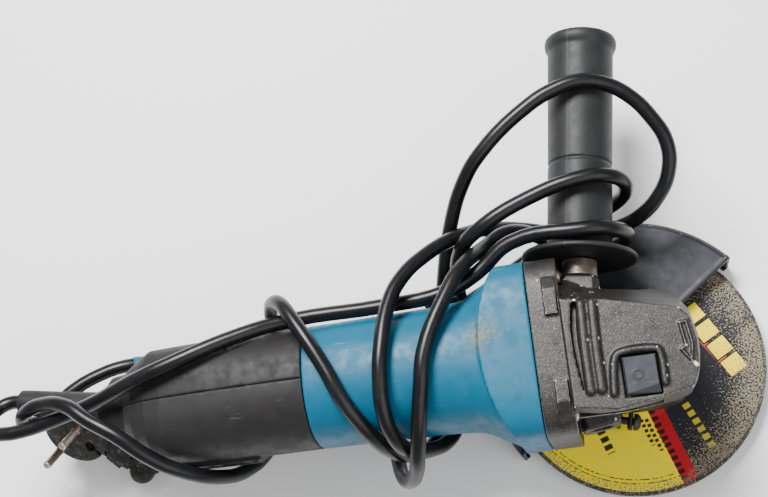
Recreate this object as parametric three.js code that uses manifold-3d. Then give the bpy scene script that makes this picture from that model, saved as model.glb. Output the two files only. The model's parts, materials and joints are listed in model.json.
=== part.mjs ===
// A corded 125 mm angle grinder, in millimetres.
// +X runs forward to the gear head, +Y to the left, where the side handle is, and +Z up.
// Each part is drawn from the point where the motor's axis meets the spindle's.
// At the end the whole is moved so that z = 0 is the surface that the guard's rim stands on.

import * as THREE from 'three';
import { ConvexGeometry } from 'three/addons/geometries/ConvexGeometry.js';
import { mergeVertices } from 'three/addons/utils/BufferGeometryUtils.js';
import Module from 'manifold-3d';

const wasm = await Module();
wasm.setup();

// ---------------------------------------------------------------- driving dimensions

const AXIS_HEIGHT = 58.5;
const GAP = 0.3;

// Along the motor's axis.
const FLANGE_FRONT = -27;
const HEAD_REAR = -41;
const COLLAR_REAR = -64.5;
const HOUSING_REAR = -145;
const HANDLE_REAR = -235;
const TAIL_REAR = -246;

// Sections.
const BARREL_RADIUS = 28.8;
const COLLAR_HALF_WIDTH = 40.3;
const COLLAR_HALF_HEIGHT = 33.3;
const COLLAR_SQUARENESS = 5;
const TOP_OF_HEAD = 35;
const HEAD_BOTTOM = -27.7;
const BELL_HALF_WIDTH = 26;
const CLAMP_CLEARANCE = -32.2;
const GEAR_CHAMBER_RADIUS = 23;
const UPPER_CHAMBER_RADIUS = 17.6;
const FAN_CHAMBER_RADIUS = 29;

// Down the spindle.
const BOX_BOTTOM = -33;
const NECK_BOTTOM = -40.5;
const NECK_RADIUS = 20.3;
const GUARD_TOP = -38.5;
const GUARD_THICKNESS = 1.8;
const GUARD_RIM_BOTTOM = -AXIS_HEIGHT;
const GUARD_RADIUS = 69.5;
const GUARD_CENTRE_ANGLE = 126.5;
const GUARD_EDGE_OFFSET = 3;
const FLANGE_TOP = -41;
const HUB_TOP = -45.3;
const HUB_THICKNESS = 5;
const WHEEL_DROP = 3;
const WHEEL_THICKNESS = 6;
const WHEEL_RADIUS = 62.5;
const SPINDLE_BOTTOM = -55.6;

// The lock button and its pin, beside the spindle.
const LOCK_X = 2.1;
const LOCK_Y = -19.6;
const LOCK_PIN_RADIUS = 2.3;

// The gears.
const GEAR_TEETH = 37;
const PINION_TEETH = 11;
const GEAR_RADIUS = 22.3;
const GEAR_BACK = -14.6;
const TOOTH_TOP = -7.9;

// The side handle leans forward by HANDLE_YAW from square to the motor.
const HANDLE_YAW = 0.144;
const HANDLE_FOOT_X = -22.5;
const HANDLE_Z = 3.6;
const HANDLE_HOLE_RADIUS = 5.1;
const LEFT_BOSS_FACE = 33.2;
const RIGHT_BOSS_FACE = 36.4;

// The cord guard's sleeve leans to the left at the rear.
const SLEEVE_BASE = [-246.3, 2.6, 0];
const SLEEVE_YAW = 0.2;
const SLEEVE_LENGTH = 49.7;

const CORD_RADIUS = 3.5;

const BLUE = 0x0a7fb0;
const CHARCOAL = 0x2b2a2a;
const CAST_GREY = 0x6e6b66;
const STEEL = 0xa9a9a8;
const DARK_STEEL = 0x3a3b42;
const RUBBER = 0x161616;
const COPPER = 0xb06a3a;
const BRASS = 0xc2a154;

// ---------------------------------------------------------------- solids

function toSolid(geometry) {
  const bare = geometry.clone();
  bare.deleteAttribute('normal');
  bare.deleteAttribute('uv');
  const merged = mergeVertices(bare, 1e-4);
  const place = merged.attributes.position.array;
  const corners = merged.index.array;
  const kept = [];
  let volume = 0;
  for (let i = 0; i < corners.length; i += 3) {
    const [a, b, c] = [corners[i], corners[i + 1], corners[i + 2]];
    if (a === b || b === c || c === a) continue;
    kept.push(a, b, c);
    const [p, q, r] = [a, b, c].map((v) => new THREE.Vector3().fromArray(place, 3 * v));
    volume += p.dot(q.cross(r));
  }
  if (volume < 0) kept.reverse();
  return new wasm.Manifold(new wasm.Mesh({
    numProp: 3,
    vertProperties: new Float32Array(place),
    triVerts: new Uint32Array(kept),
  }));
}

function toGeometry(solid) {
  const mesh = solid.getMesh();
  const geometry = new THREE.BufferGeometry();
  geometry.setAttribute('position', new THREE.BufferAttribute(mesh.vertProperties, 3));
  geometry.setIndex(new THREE.BufferAttribute(mesh.triVerts, 1));
  const flat = geometry.toNonIndexed();
  flat.computeVertexNormals();
  return flat;
}

function join(...solids) {
  return solids.reduce((whole, next) => whole.add(next));
}

function cut(body, ...tools) {
  return tools.reduce((left, tool) => left.subtract(tool), body);
}

function part(name, solid, color, roughness, metalness) {
  const material = new THREE.MeshStandardMaterial({ color, roughness, metalness });
  const mesh = new THREE.Mesh(toGeometry(solid), material);
  mesh.name = name;
  return mesh;
}

function box(x0, x1, y0, y1, z0, z1) {
  const geometry = new THREE.BoxGeometry(x1 - x0, y1 - y0, z1 - z0);
  geometry.translate((x0 + x1) / 2, (y0 + y1) / 2, (z0 + z1) / 2);
  return toSolid(geometry);
}

// A turned solid: profile is a list of [height, radius], and the axis is closed if it isn't reached.
function turned(profile, sides) {
  const points = profile.map(([height, radius]) => new THREE.Vector2(radius, height));
  const onAxis = points[0].x === 0 && points[points.length - 1].x === 0;
  if (!onAxis) points.push(points[0].clone());
  return new THREE.LatheGeometry(points, sides);
}

function turnedZ(profile, sides = 24, x = 0, y = 0) {
  return toSolid(turned(profile, sides).rotateX(Math.PI / 2).translate(x, y, 0));
}

function turnedX(profile, sides = 24, y = 0, z = 0) {
  return toSolid(turned(profile, sides).rotateZ(-Math.PI / 2).translate(0, y, z));
}

function rod(from, to, radius) {
  return [[from, 0], [from, radius], [to, radius], [to, 0]];
}

function tube(from, to, inner, outer) {
  return [[from, inner], [from, outer], [to, outer], [to, inner]];
}

// A turned solid about the side handle's axis, by distance from the motor's axis.
function turnedHandle(profile, sides = 24) {
  const geometry = turned(profile, sides);
  return toSolid(geometry.rotateZ(-HANDLE_YAW).translate(HANDLE_FOOT_X, 0, HANDLE_Z));
}

// A turned solid about the cord guard's axis, by distance behind its base.
function turnedSleeve(profile, sides = 24) {
  const geometry = turned(profile, sides).rotateZ(Math.PI / 2 - SLEEVE_YAW);
  return toSolid(geometry.translate(...SLEEVE_BASE));
}

function hull(points) {
  return toSolid(new ConvexGeometry(points.map((p) => new THREE.Vector3(...p))));
}

// The solid between closed rings of equally many points, one after the other.
function loft(rings) {
  const count = rings[0].length;
  const points = rings.flat();
  const index = [];
  for (let k = 0; k + 1 < rings.length; k += 1) {
    for (let i = 0; i < count; i += 1) {
      const a = k * count + i;
      const b = k * count + (i + 1) % count;
      index.push(a, b, b + count, a, b + count, a + count);
    }
  }
  for (const [ring, start] of [[rings[0], 0], [rings[rings.length - 1], (rings.length - 1) * count]]) {
    const middle = new THREE.Vector3();
    ring.forEach((point) => middle.addScaledVector(point, 1 / count));
    points.push(middle);
    for (let i = 0; i < count; i += 1) {
      const pair = [start + (i + 1) % count, start + i];
      if (start) pair.reverse();
      index.push(...pair, points.length - 1);
    }
  }
  const geometry = new THREE.BufferGeometry().setFromPoints(points);
  geometry.setIndex(index);
  return toSolid(geometry);
}

// A ring across the motor's axis: an ellipse that squareness above 2 fills out to a rounded box.
function section(x, halfWidth, halfHeight, squareness = 2, shiftY = 0, sides = 24) {
  return Array.from({ length: sides }, (_, i) => {
    const angle = (2 * Math.PI * (i + 0.5)) / sides;
    const swell = (value) => Math.sign(value) * Math.abs(value) ** (2 / squareness);
    return new THREE.Vector3(
      x,
      shiftY + halfWidth * swell(Math.cos(angle)),
      halfHeight * swell(Math.sin(angle)),
    );
  });
}

// A ring around the spindle, from a circle to a rounded square.
function ringAround(halfWidth, z, squareness = 4) {
  return section(z, halfWidth, halfWidth, squareness, 0, 32)
    .map((point) => new THREE.Vector3(point.y, point.z, z));
}

// ---------------------------------------------------------------- motor housing

const HEAD_SCREW_Y = 30.5;
const HEAD_SCREW_Z = 23;
const CORNERS = [[1, 1], [1, -1], [-1, 1], [-1, -1]];

function collarBlock(front, rear) {
  return loft([
    section(rear, COLLAR_HALF_WIDTH, COLLAR_HALF_HEIGHT, COLLAR_SQUARENESS),
    section(front, COLLAR_HALF_WIDTH, COLLAR_HALF_HEIGHT, COLLAR_SQUARENESS),
  ]);
}

function motorHousing() {
  const barrel = loft([
    section(HOUSING_REAR, 28.4, 28.4, 2.2),
    section(-110, BARREL_RADIUS, BARREL_RADIUS, 2.2),
    section(-78, 29.4, 29, 2.3),
    section(-68, 31, 29.6, 2.6),
    section(-60, 35, 30.6, 3.4),
    section(-52, 38.6, 31.6, 4.4),
    section(HEAD_REAR, 39.4, 32.4, COLLAR_SQUARENESS),
  ]);
  const rearCurve = 76;
  const curve = turnedZ(rod(-50, 50, rearCurve), 44, COLLAR_REAR + rearCurve, 0);
  const collar = collarBlock(HEAD_REAR, -75).intersect(curve);
  const neck = turnedX(rod(-175, HOUSING_REAR + 3, 24.4), 28);
  const screwHoles = CORNERS.map(([sy, sz]) =>
    turnedX(rod(-56, HEAD_REAR + 1, 1.9), 8, sy * HEAD_SCREW_Y, sz * HEAD_SCREW_Z));
  const windows = [-1, 1].map((side) =>
    box(-160, -148, Math.min(side * 10, side * 30), Math.max(side * 10, side * 30), -5.6, 5.6));
  const rodNeck = box(-176, -141, 23.1, 26.4, -3, 3);
  const rodNotch = box(-176, -172.9, 8.8, 26.4, -3, 3);
  const knobSlot = box(-88, -72, 25, 44, -3.2, 3.2);
  return cut(
    join(barrel, collar, neck),
    turnedX(rod(-164, -62, 22.3), 28),
    turnedX(rod(-142, -62, 26.4), 28),
    turnedX(rod(-62.1, HEAD_REAR + 1, FAN_CHAMBER_RADIUS), 28),
    turnedX(rod(-173.2, -150, 9.8), 20),
    turnedX(rod(-180, -150, 7.5), 16),
    rodNeck,
    rodNotch,
    knobSlot,
    ...windows,
    ...screwHoles,
  );
}

// ---------------------------------------------------------------- gear housing

const PLATE_OUTLINE = [
  [-27, 17], [-9, 14.5], [21.2, 6.8], [25.2, 2.4], [26.8, -8],
  [26, -20], [22.5, -27.3], [1, -31.6], [-8, -33], [-27, -30],
];
const WAIST_OUTLINE = [
  [-30, 27], [-9.3, 23.7], [7.4, 18.9], [23.8, 13.6], [26.6, 9.5], [28.8, -2], [28.4, -10],
  [25.4, -22], [21.8, -27.2], [16, -29.4], [6, -30.6], [-6, -32], [-30, -32],
];
const WAIST_Z = 16;
const BELL_TOP = -6;

function headBody() {
  const waist = WAIST_OUTLINE.map(([x, y]) => [x, y, WAIST_Z]);
  const upper = hull([...PLATE_OUTLINE.map(([x, y]) => [x, y, TOP_OF_HEAD]), ...waist]);
  const shoulder = ringAround(BELL_HALF_WIDTH - 0.4, BELL_TOP).map((point) => point.toArray());
  const lower = hull([...waist, ...shoulder]);
  const bell = loft([
    ringAround(BELL_HALF_WIDTH - 0.8, HEAD_BOTTOM),
    ringAround(BELL_HALF_WIDTH, HEAD_BOTTOM + 1.4),
    ringAround(BELL_HALF_WIDTH, BELL_TOP + 1),
  ]);
  const flange = collarBlock(FLANGE_FRONT, HEAD_REAR + GAP);
  const throat = loft([
    section(-30, 34, 31, 3.4),
    section(-16, 27, 26.4, 3),
  ]);
  return join(upper, lower, bell, flange, throat);
}

// A squared boss around the threaded hole for the side handle; side is 1 on the left and -1 on the right.
function handleBoss(side, face) {
  const [sin, cos] = [Math.sin(HANDLE_YAW), Math.cos(HANDLE_YAW)];
  const at = (across, z, reach) => [
    HANDLE_FOOT_X + sin * reach + cos * across,
    side * (cos * reach - sin * across),
    HANDLE_Z + z,
  ];
  const corners = (half, chamfer, reach) => [
    [half, half - chamfer], [half - chamfer, half], [chamfer - half, half], [-half, half - chamfer],
    [-half, chamfer - half], [chamfer - half, -half], [half - chamfer, -half], [half, chamfer - half],
  ].map(([across, z]) => at(across, z, reach));
  return hull([...corners(10.6, 3, 18), ...corners(8.6, 2.6, face - 1), ...corners(8, 2.6, face)]);
}

function rightHandleHole() {
  const hole = turned(rod(21, 40, HANDLE_HOLE_RADIUS), 14).rotateZ(HANDLE_YAW - Math.PI);
  return toSolid(hole.translate(HANDLE_FOOT_X, 0, HANDLE_Z));
}

// A raised bar that follows points on the top of the head.
function ridge(points, width, height) {
  const bars = [];
  for (let i = 0; i + 1 < points.length; i += 1) {
    const [ax, ay] = points[i];
    const [bx, by] = points[i + 1];
    const length = Math.hypot(bx - ax, by - ay);
    const geometry = new THREE.BoxGeometry(length, width, 4);
    geometry.rotateZ(Math.atan2(by - ay, bx - ax));
    geometry.translate((ax + bx) / 2, (ay + by) / 2, TOP_OF_HEAD + height - 2);
    bars.push(toSolid(geometry));
  }
  const knots = points.map(([x, y]) =>
    turnedZ(rod(TOP_OF_HEAD + height - 4, TOP_OF_HEAD + height, width / 2), 5, x, y));
  return join(...bars, ...knots);
}

const SURROUND = [[-9.9, -26], [-8.2, -13], [-4.4, -9.2], [8.3, -9.2], [11.2, -12.4], [11.3, -24]];
const ARROW = [
  [20.8, 0], [23.4, 0.2], [24.6, -9.5], [23.4, -16.8], [19.8, -11.2], [22, -10.2], [20.8, 0],
];

// A lug on the flange: flat on top, and sloping down to the side.
function flangePad(y0, y1, foot, footZ) {
  const corners = (y, z) => [[-33.6, y, z], [-28.4, y, z]];
  return hull([
    ...corners(y0, 30), ...corners(y0, 35.8), ...corners(y1, 35.8),
    ...corners(foot, footZ), ...corners(foot, footZ - 3),
  ]);
}

function headRelief() {
  const ribs = [-18.4, -13.8].map((x) =>
    ridge([[x, 13.4], [x - 0.8, -5], [x - 0.9, -23.6]], 3.6, 1.8));
  const pads = [flangePad(11.2, 22.3, 28, 32.6), flangePad(-17.4, -26.8, -33.4, 29.4)];
  return join(...ribs, ridge(SURROUND, 2.8, 1.7), ridge(ARROW, 0.9, 0.9), ...pads);
}

function gearHousing() {
  const slot = ridge([[-21.4, 13.6], [-22.6, 5], [-22.8, -6], [-21.2, -22]], 2.6, 0);
  const pocket = box(LOCK_X - 7.7, LOCK_X + 7.7, LOCK_Y - 9, LOCK_Y + 8.8, TOP_OF_HEAD - 4, 50);
  const screwSeats = CORNERS.map(([sy, sz]) =>
    turnedX(rod(FLANGE_FRONT - 2.6, 10, 4.6), 12, sy * HEAD_SCREW_Y, sz * HEAD_SCREW_Z));
  const screwHoles = CORNERS.map(([sy, sz]) =>
    turnedX(rod(HEAD_REAR - 1, 10, 2.3), 8, sy * HEAD_SCREW_Y, sz * HEAD_SCREW_Z));
  const coverHoles = CORNERS.map(([sx, sy]) =>
    turnedZ(rod(HEAD_BOTTOM - 1, -14, 1.7), 8, sx * COVER_SCREW, sy * COVER_SCREW));
  const belowBell = BELL_HALF_WIDTH + 0.6;
  const underside = loft([ringAround(belowBell, -60), ringAround(belowBell, HEAD_BOTTOM)]);
  const bosses = join(handleBoss(1, LEFT_BOSS_FACE), handleBoss(-1, RIGHT_BOSS_FACE));
  return cut(
    join(cut(join(headBody(), bosses), slot), headRelief()),
    pocket,
    ...screwSeats,
    ...screwHoles,
    ...coverHoles,
    underside,
    turnedZ(rod(-60, CLAMP_CLEARANCE, 34), 36),
    turnedHandle(rod(20, 40, HANDLE_HOLE_RADIUS), 14),
    rightHandleHole(),
    turnedZ([
      [-40, 0], [-40, GEAR_CHAMBER_RADIUS], [-8, GEAR_CHAMBER_RADIUS], [-3, UPPER_CHAMBER_RADIUS],
      [15.6, UPPER_CHAMBER_RADIUS], [19, 12], [19, 0],
    ], 24),
    turnedZ(rod(15, 27.4, 8.3), 16),
    turnedZ(rod(-10, 50, LOCK_PIN_RADIUS + 0.5), 12, LOCK_X, LOCK_Y),
    turnedZ(rod(25, 50, 4.6), 12, LOCK_X, LOCK_Y),
    turnedX(rod(HEAD_REAR - 1, -20, 13.3), 18),
    turnedX(rod(-30, -5, 11), 16),
    turnedX([[HEAD_REAR - 1, 0], [HEAD_REAR - 1, 24], [-37, 22], [-35, 16], [-35, 0]], 18),
  );
}

const COVER_SCREW = 18.7;
const COVER_HALF_WIDTH = 25.6;

function bearingBox() {
  const plate = loft([
    ringAround(COVER_HALF_WIDTH, BOX_BOTTOM),
    ringAround(COVER_HALF_WIDTH, HEAD_BOTTOM - GAP),
  ]);
  const holes = CORNERS.map(([sx, sy]) => join(
    turnedZ(rod(-40, -20, 2), 8, sx * COVER_SCREW, sy * COVER_SCREW),
    turnedZ(rod(-40, BOX_BOTTOM + 2.4, 3.6), 10, sx * COVER_SCREW, sy * COVER_SCREW),
  ));
  return cut(
    join(plate, turnedZ(rod(NECK_BOTTOM, BOX_BOTTOM + 1, NECK_RADIUS), 36)),
    turnedZ(rod(NECK_BOTTOM + 2, -20, 16.3), 28),
    turnedZ(rod(-50, -30, 10.6), 24),
    ...holes,
  );
}

// A cross-head screw that points along -X or up: head, shank and a slotted cross.
function screwAlongX(headFrom, headTo, tip, y, z) {
  const body = turnedX([
    [tip, 0], [tip, 1.5], [headFrom, 1.5], [headFrom, 3.8], [headTo - 0.8, 3.6], [headTo, 2.4], [headTo, 0],
  ], 8, y, z);
  const cross = join(
    box(headTo - 1.4, headTo + 1, y - 2, y + 2, z - 0.4, z + 0.4),
    box(headTo - 1.4, headTo + 1, y - 0.4, y + 0.4, z - 2, z + 2),
  );
  return cut(body, cross);
}

function screwAlongZ(headFrom, headTo, tip, x, y) {
  const body = turnedZ([
    [headTo, 0], [headTo, 2.4], [headTo + 0.8, 3.1], [headFrom, 3.1], [headFrom, 1.3], [tip, 1.3], [tip, 0],
  ], 8, x, y);
  const cross = join(
    box(x - 1.8, x + 1.8, y - 0.4, y + 0.4, headTo - 1, headTo + 1.1),
    box(x - 0.4, x + 0.4, y - 1.8, y + 1.8, headTo - 1, headTo + 1.1),
  );
  return cut(body, cross);
}

// ---------------------------------------------------------------- spindle and wheel

const SPINDLE_TOP = 26.6;

function spindle() {
  return turnedZ([
    [SPINDLE_TOP, 0], [SPINDLE_TOP, 3.4], [SPINDLE_TOP - 0.8, 4], [16, 4], [15.6, 5.2],
    [GEAR_BACK - 0.2, 5.2], [GEAR_BACK - GAP, 7.4], [-26.6, 7.4], [-26.9, 5.7], [-37.5, 5.7],
    [-37.8, 9.6], [FLANGE_TOP + 0.4, 9.6],
    [FLANGE_TOP + 0.4, 6.6], [SPINDLE_BOTTOM + 1, 6.6], [SPINDLE_BOTTOM, 5.6], [SPINDLE_BOTTOM, 0],
  ], 20);
}

// The crown gear's teeth are wedges on a cone, from the outer radius inward, and look up at the pinion.
function crownTeeth() {
  const teeth = [];
  for (let i = 0; i < GEAR_TEETH; i += 1) {
    const angle = (2 * Math.PI * i) / GEAR_TEETH;
    const half = 0.2 * ((2 * Math.PI) / GEAR_TEETH);
    const at = (radius, turn, z) =>
      [radius * Math.cos(angle + turn), radius * Math.sin(angle + turn), z];
    teeth.push(hull([
      at(21.6, -half, -9.7), at(21.6, half, -9.7), at(15.6, -half, -11.1), at(15.6, half, -11.1),
      at(21.4, 0, TOOTH_TOP), at(15.4, 0, TOOTH_TOP - 1.5),
    ]));
  }
  return teeth;
}

function crownGear() {
  const blank = turnedZ([
    [GEAR_BACK, 5.5], [GEAR_BACK, GEAR_RADIUS], [-9.4, GEAR_RADIUS], [-11, 15], [-11, 9],
    [TOOTH_TOP, 9], [TOOTH_TOP, 5.5],
  ], 24);
  const lockHoles = [0, 1, 2, 3].map((i) => {
    const angle = Math.atan2(LOCK_Y, LOCK_X) + (i * Math.PI) / 2;
    const reach = Math.hypot(LOCK_X, LOCK_Y);
    const [x, y] = [reach * Math.cos(angle), reach * Math.sin(angle)];
    return turnedZ(rod(GEAR_BACK + 2.4, 0, 2.8), 6, x, y);
  });
  return cut(join(blank, ...crownTeeth()), ...lockHoles);
}

function pinion() {
  const large = 7.3;
  const small = 5.2;
  const front = -15;
  const rear = -21.6;
  const blank = turnedX([[rear, 4.3], [rear, large - 1.6], [front, small - 1.2], [front, 4.3 - 1.2]], 11);
  const teeth = [];
  for (let i = 0; i < PINION_TEETH; i += 1) {
    const angle = (2 * Math.PI * i) / PINION_TEETH;
    const half = 0.2 * ((2 * Math.PI) / PINION_TEETH);
    const at = (x, radius, turn) =>
      [x, radius * Math.cos(angle + turn), radius * Math.sin(angle + turn)];
    teeth.push(hull([
      at(rear, large - 2, -half), at(rear, large - 2, half), at(rear, large, 0),
      at(front, small - 1.5, -half), at(front, small - 1.5, half), at(front, small, 0),
    ]));
  }
  const hub = turnedX(tube(-24.4, rear + 0.2, 4.3, 6.4), 16);
  return cut(join(blank, ...teeth, hub), turnedX(rod(-30, 0, 4.3), 16));
}

function ballBearingZ(z0, z1, inner, outer) {
  const middle = (inner + outer) / 2;
  const race = turnedZ(tube(z0, z1, inner, outer), 16);
  const grooves = [z0, z1].map((z) => turnedZ(tube(z - 0.6, z + 0.6, middle - 1.4, middle + 1.4), 16));
  return cut(race, ...grooves);
}

function ballBearingX(x0, x1, inner, outer) {
  const middle = (inner + outer) / 2;
  const race = turnedX(tube(x0, x1, inner, outer), 16);
  const grooves = [x0, x1].map((x) => turnedX(tube(x - 0.6, x + 0.6, middle - 1.2, middle + 1.2), 16));
  return cut(race, ...grooves);
}

function innerFlange() {
  return turnedZ([
    [FLANGE_TOP, 6.9], [FLANGE_TOP, 14], [FLANGE_TOP - 1.6, 19.5], [HUB_TOP + GAP, 19.5],
    [HUB_TOP + GAP, 11.4], [HUB_TOP - 2.2, 10.8], [HUB_TOP - 2.2, 6.9],
  ], 24);
}

function lockNut() {
  const top = HUB_TOP - HUB_THICKNESS - GAP;
  const nut = turnedZ([[top, 6.9], [top, 17.5], [top - 3, 17.5], [top - 5, 15.5], [top - 5, 6.9]], 24);
  const pinHoles = [0, 1, 2, 3].map((i) => {
    const angle = (i * Math.PI) / 2 + 0.4;
    return turnedZ(rod(top - 8, top - 3, 2.4), 8, 12.4 * Math.cos(angle), 12.4 * Math.sin(angle));
  });
  return cut(nut, ...pinHoles);
}

function grindingWheel() {
  const top = HUB_TOP - WHEEL_DROP;
  return turnedZ([
    [HUB_TOP, 11.7], [HUB_TOP, 21.5], [top, 27], [top, WHEEL_RADIUS], [top - WHEEL_THICKNESS, WHEEL_RADIUS],
    [top - WHEEL_THICKNESS, 29.5], [HUB_TOP - HUB_THICKNESS, 23], [HUB_TOP - HUB_THICKNESS, 11.7],
  ], 48);
}

// ---------------------------------------------------------------- wheel guard

const CLAMP_ANGLE = -105;
const CLAMP_Z = -37;
const DEGREE = Math.PI / 180;

function guardShell() {
  const angle = GUARD_CENTRE_ANGLE * DEGREE;
  const shell = turnedZ([
    [GUARD_TOP, 20.7], [GUARD_TOP, GUARD_RADIUS - 2], [GUARD_TOP - 0.6, GUARD_RADIUS - 0.6],
    [GUARD_TOP - 2, GUARD_RADIUS], [GUARD_RIM_BOTTOM, GUARD_RADIUS], [GUARD_RIM_BOTTOM, GUARD_RADIUS - 3.4],
    [GUARD_RIM_BOTTOM + 1.4, GUARD_RADIUS - 3.4], [GUARD_RIM_BOTTOM + 1.4, GUARD_RADIUS - GUARD_THICKNESS],
    [GUARD_TOP - GUARD_THICKNESS, GUARD_RADIUS - GUARD_THICKNESS - 0.6],
    [GUARD_TOP - GUARD_THICKNESS, 20.7],
  ], 52);
  const keep = toSolid(new THREE.BoxGeometry(200, 100, 60)
    .translate(0, 50 + GUARD_EDGE_OFFSET, -45)
    .rotateZ(angle - Math.PI / 2));
  const ring = turnedZ(rod(-60, -30, 24.4), 32);
  return shell.intersect(join(keep, ring));
}

function guardBand() {
  const angle = CLAMP_ANGLE * DEGREE;
  const band = turnedZ(tube(GUARD_TOP - 0.6, BOX_BOTTOM - 0.5, 20.7, 22.6), 32);
  const tabs = toSolid(new THREE.BoxGeometry(13, 7.6, 6.4).translate(26.5, 0, CLAMP_Z).rotateZ(angle));
  const split = toSolid(new THREE.BoxGeometry(20, 3, 20).translate(29, 0, CLAMP_Z).rotateZ(angle));
  const hole = new THREE.CylinderGeometry(2.4, 2.4, 20, 16);
  const bore = toSolid(hole.translate(29, 0, CLAMP_Z).rotateZ(angle));
  return { band: cut(join(band, tabs), bore), split };
}

function wheelGuard() {
  const { band, split } = guardBand();
  const neck = turnedZ(rod(-60, -20, 20.7), 32);
  return cut(join(guardShell(), band), split, neck);
}

function clampScrew() {
  const angle = CLAMP_ANGLE * DEGREE;
  const profile = [[-7.2, 0], [-7.2, 1.8], [4.2, 1.8], [4.2, 4], [7, 3.6], [7.6, 2.6], [7.6, 0]];
  const body = turned(profile, 16);
  return toSolid(body.translate(29, 0, CLAMP_Z).rotateZ(angle));
}

function clampNut() {
  const angle = CLAMP_ANGLE * DEGREE;
  const ring = turned(tube(-7, -4.2, 2.1, 4), 6);
  return toSolid(ring.translate(29, 0, CLAMP_Z).rotateZ(angle));
}

// ---------------------------------------------------------------- spindle lock

const LOCK_TRAVEL = 3.2;

function lockButton() {
  const base = TOP_OF_HEAD - 0.4;
  const top = base + 2.4;
  const corner = (x, y, z) => [LOCK_X + x, LOCK_Y + y, z];
  const cap = hull([
    corner(-7.2, -8.4, base), corner(7.2, -8.4, base), corner(7.2, 8.2, base), corner(-7.2, 8.2, base),
    corner(-6.4, -7.6, top), corner(6.6, -5, top), corner(6.6, 7.4, top), corner(-6.4, 7.4, top),
    corner(6.8, -5.6, base + 1),
  ]);
  const ring = turnedZ(tube(base + 2, base + 2.7, 1.5, 2.2), 20, LOCK_X - 1.4, LOCK_Y);
  return cut(join(cap, ring), turnedZ(rod(base - 1, base + 1.6, LOCK_PIN_RADIUS + GAP), 16, LOCK_X, LOCK_Y));
}

// Pressed down, the pin stops short of the crown gear's teeth.
function lockPin() {
  const foot = TOOTH_TOP + LOCK_TRAVEL + 0.4;
  return turnedZ([
    [foot, 0], [foot, LOCK_PIN_RADIUS - 0.5], [foot + 0.6, LOCK_PIN_RADIUS],
    [TOP_OF_HEAD + 0.9, LOCK_PIN_RADIUS], [TOP_OF_HEAD + 0.9, 0],
  ], 16, LOCK_X, LOCK_Y);
}

// A spring as a closed tube along a helix about a vertical axis.
function coilSpring(x, y, z0, z1, radius, wire, turns) {
  class Helix extends THREE.Curve {
    getPoint(t, target = new THREE.Vector3()) {
      const angle = 2 * Math.PI * turns * t;
      return target.set(x + radius * Math.cos(angle), y + radius * Math.sin(angle), z0 + (z1 - z0) * t);
    }
  }
  return sweep(new Helix(), wire, 5, turns * 8);
}

function sweep(path, radius, sides, steps) {
  const round = new THREE.Shape();
  for (let i = 0; i < sides; i += 1) {
    const angle = (2 * Math.PI * i) / sides;
    const corner = [radius * Math.cos(angle), radius * Math.sin(angle)];
    if (i === 0) round.moveTo(...corner);
    else round.lineTo(...corner);
  }
  round.closePath();
  return toSolid(new THREE.ExtrudeGeometry(round, { steps, extrudePath: path, bevelEnabled: false }));
}

// ---------------------------------------------------------------- motor

function armatureShaft() {
  return turnedX([
    [-15.4, 0], [-15.4, 2.6], [-22, 4], [-24.6, 4], [-24.8, 4.7], [-60, 4.7], [-60.3, 5.4],
    [-165.4, 5.4], [-165.7, 3.9], [-174, 3.9], [-174, 0],
  ], 20);
}

function armatureCore() {
  const core = turnedX(tube(-126, -86, 5.7, 17.4), 24);
  const slots = Array.from({ length: 12 }, (_, i) =>
    toSolid(new THREE.BoxGeometry(44, 1.6, 2.4).translate(-106, 0, 16.6).rotateX((i * Math.PI) / 6)));
  return cut(core, ...slots);
}

function windingRing(rear, front) {
  const lead = Math.abs(front - rear) * 0.3;
  return turnedX([
    [rear, 5.7], [rear, 12.5], [rear + lead, 15.8], [front - lead, 15.8], [front, 12.5], [front, 5.7],
  ], 18);
}

function commutator() {
  const ring = turnedX(tube(-161, -146.5, 5.7, 11.4), 24);
  const slits = Array.from({ length: 12 }, (_, i) =>
    toSolid(new THREE.BoxGeometry(15.4, 0.5, 1.4).translate(-153.9, 0, 11.2).rotateX((i * Math.PI) / 6)));
  return cut(ring, ...slits);
}

function coolingFan() {
  const hub = turnedX([[-59.5, 5], [-59.5, 25.4], [-57.9, 25.4], [-55, 9], [-48, 9], [-48, 5]], 22);
  const blades = Array.from({ length: 11 }, (_, i) =>
    toSolid(new THREE.BoxGeometry(9, 1.3, 17).translate(-53.9, 0, 16.2).rotateX((2 * Math.PI * i) / 11)));
  return join(hub, ...blades);
}

function stator() {
  const stack = turnedX(tube(-128, -84, 18.4, 26), 32);
  const flats = [1, -1].map((side) =>
    box(-140, -70, Math.min(side * 22.8, side * 40), Math.max(side * 22.8, side * 40), -30, 30));
  return cut(stack, ...flats);
}

// A field coil end that arches over a pole, in front of or behind the stator.
function fieldCoil(x0, x1, side) {
  const ring = turnedX(tube(x0, x1, 18.6, 24.4), 32);
  const half = side > 0 ? box(x0 - 1, x1 + 1, -21, 21, 5, 30) : box(x0 - 1, x1 + 1, -21, 21, -30, -5);
  return ring.intersect(half);
}

function baffleRing() {
  return turnedX([[-63, 19.5], [-63, 26], [-62, 26.1], [-61.8, 28.6], [-60.4, 28.6], [-60.4, 19.5]], 24);
}

function brush(side) {
  return box(-158.4, -149.6, Math.min(side * 11.8, side * 21), Math.max(side * 11.8, side * 21), -3.2, 3.2);
}

function brushHolder(side) {
  const [near, far] = [side * 12.6, side * 22.8];
  const sleeve = box(-159.7, -148.3, Math.min(near, far), Math.max(near, far), -5.2, 5.2);
  return cut(sleeve, box(-158.7, -149.3, -30, 30, -3.5, 3.5));
}

// ---------------------------------------------------------------- slide switch

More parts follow.
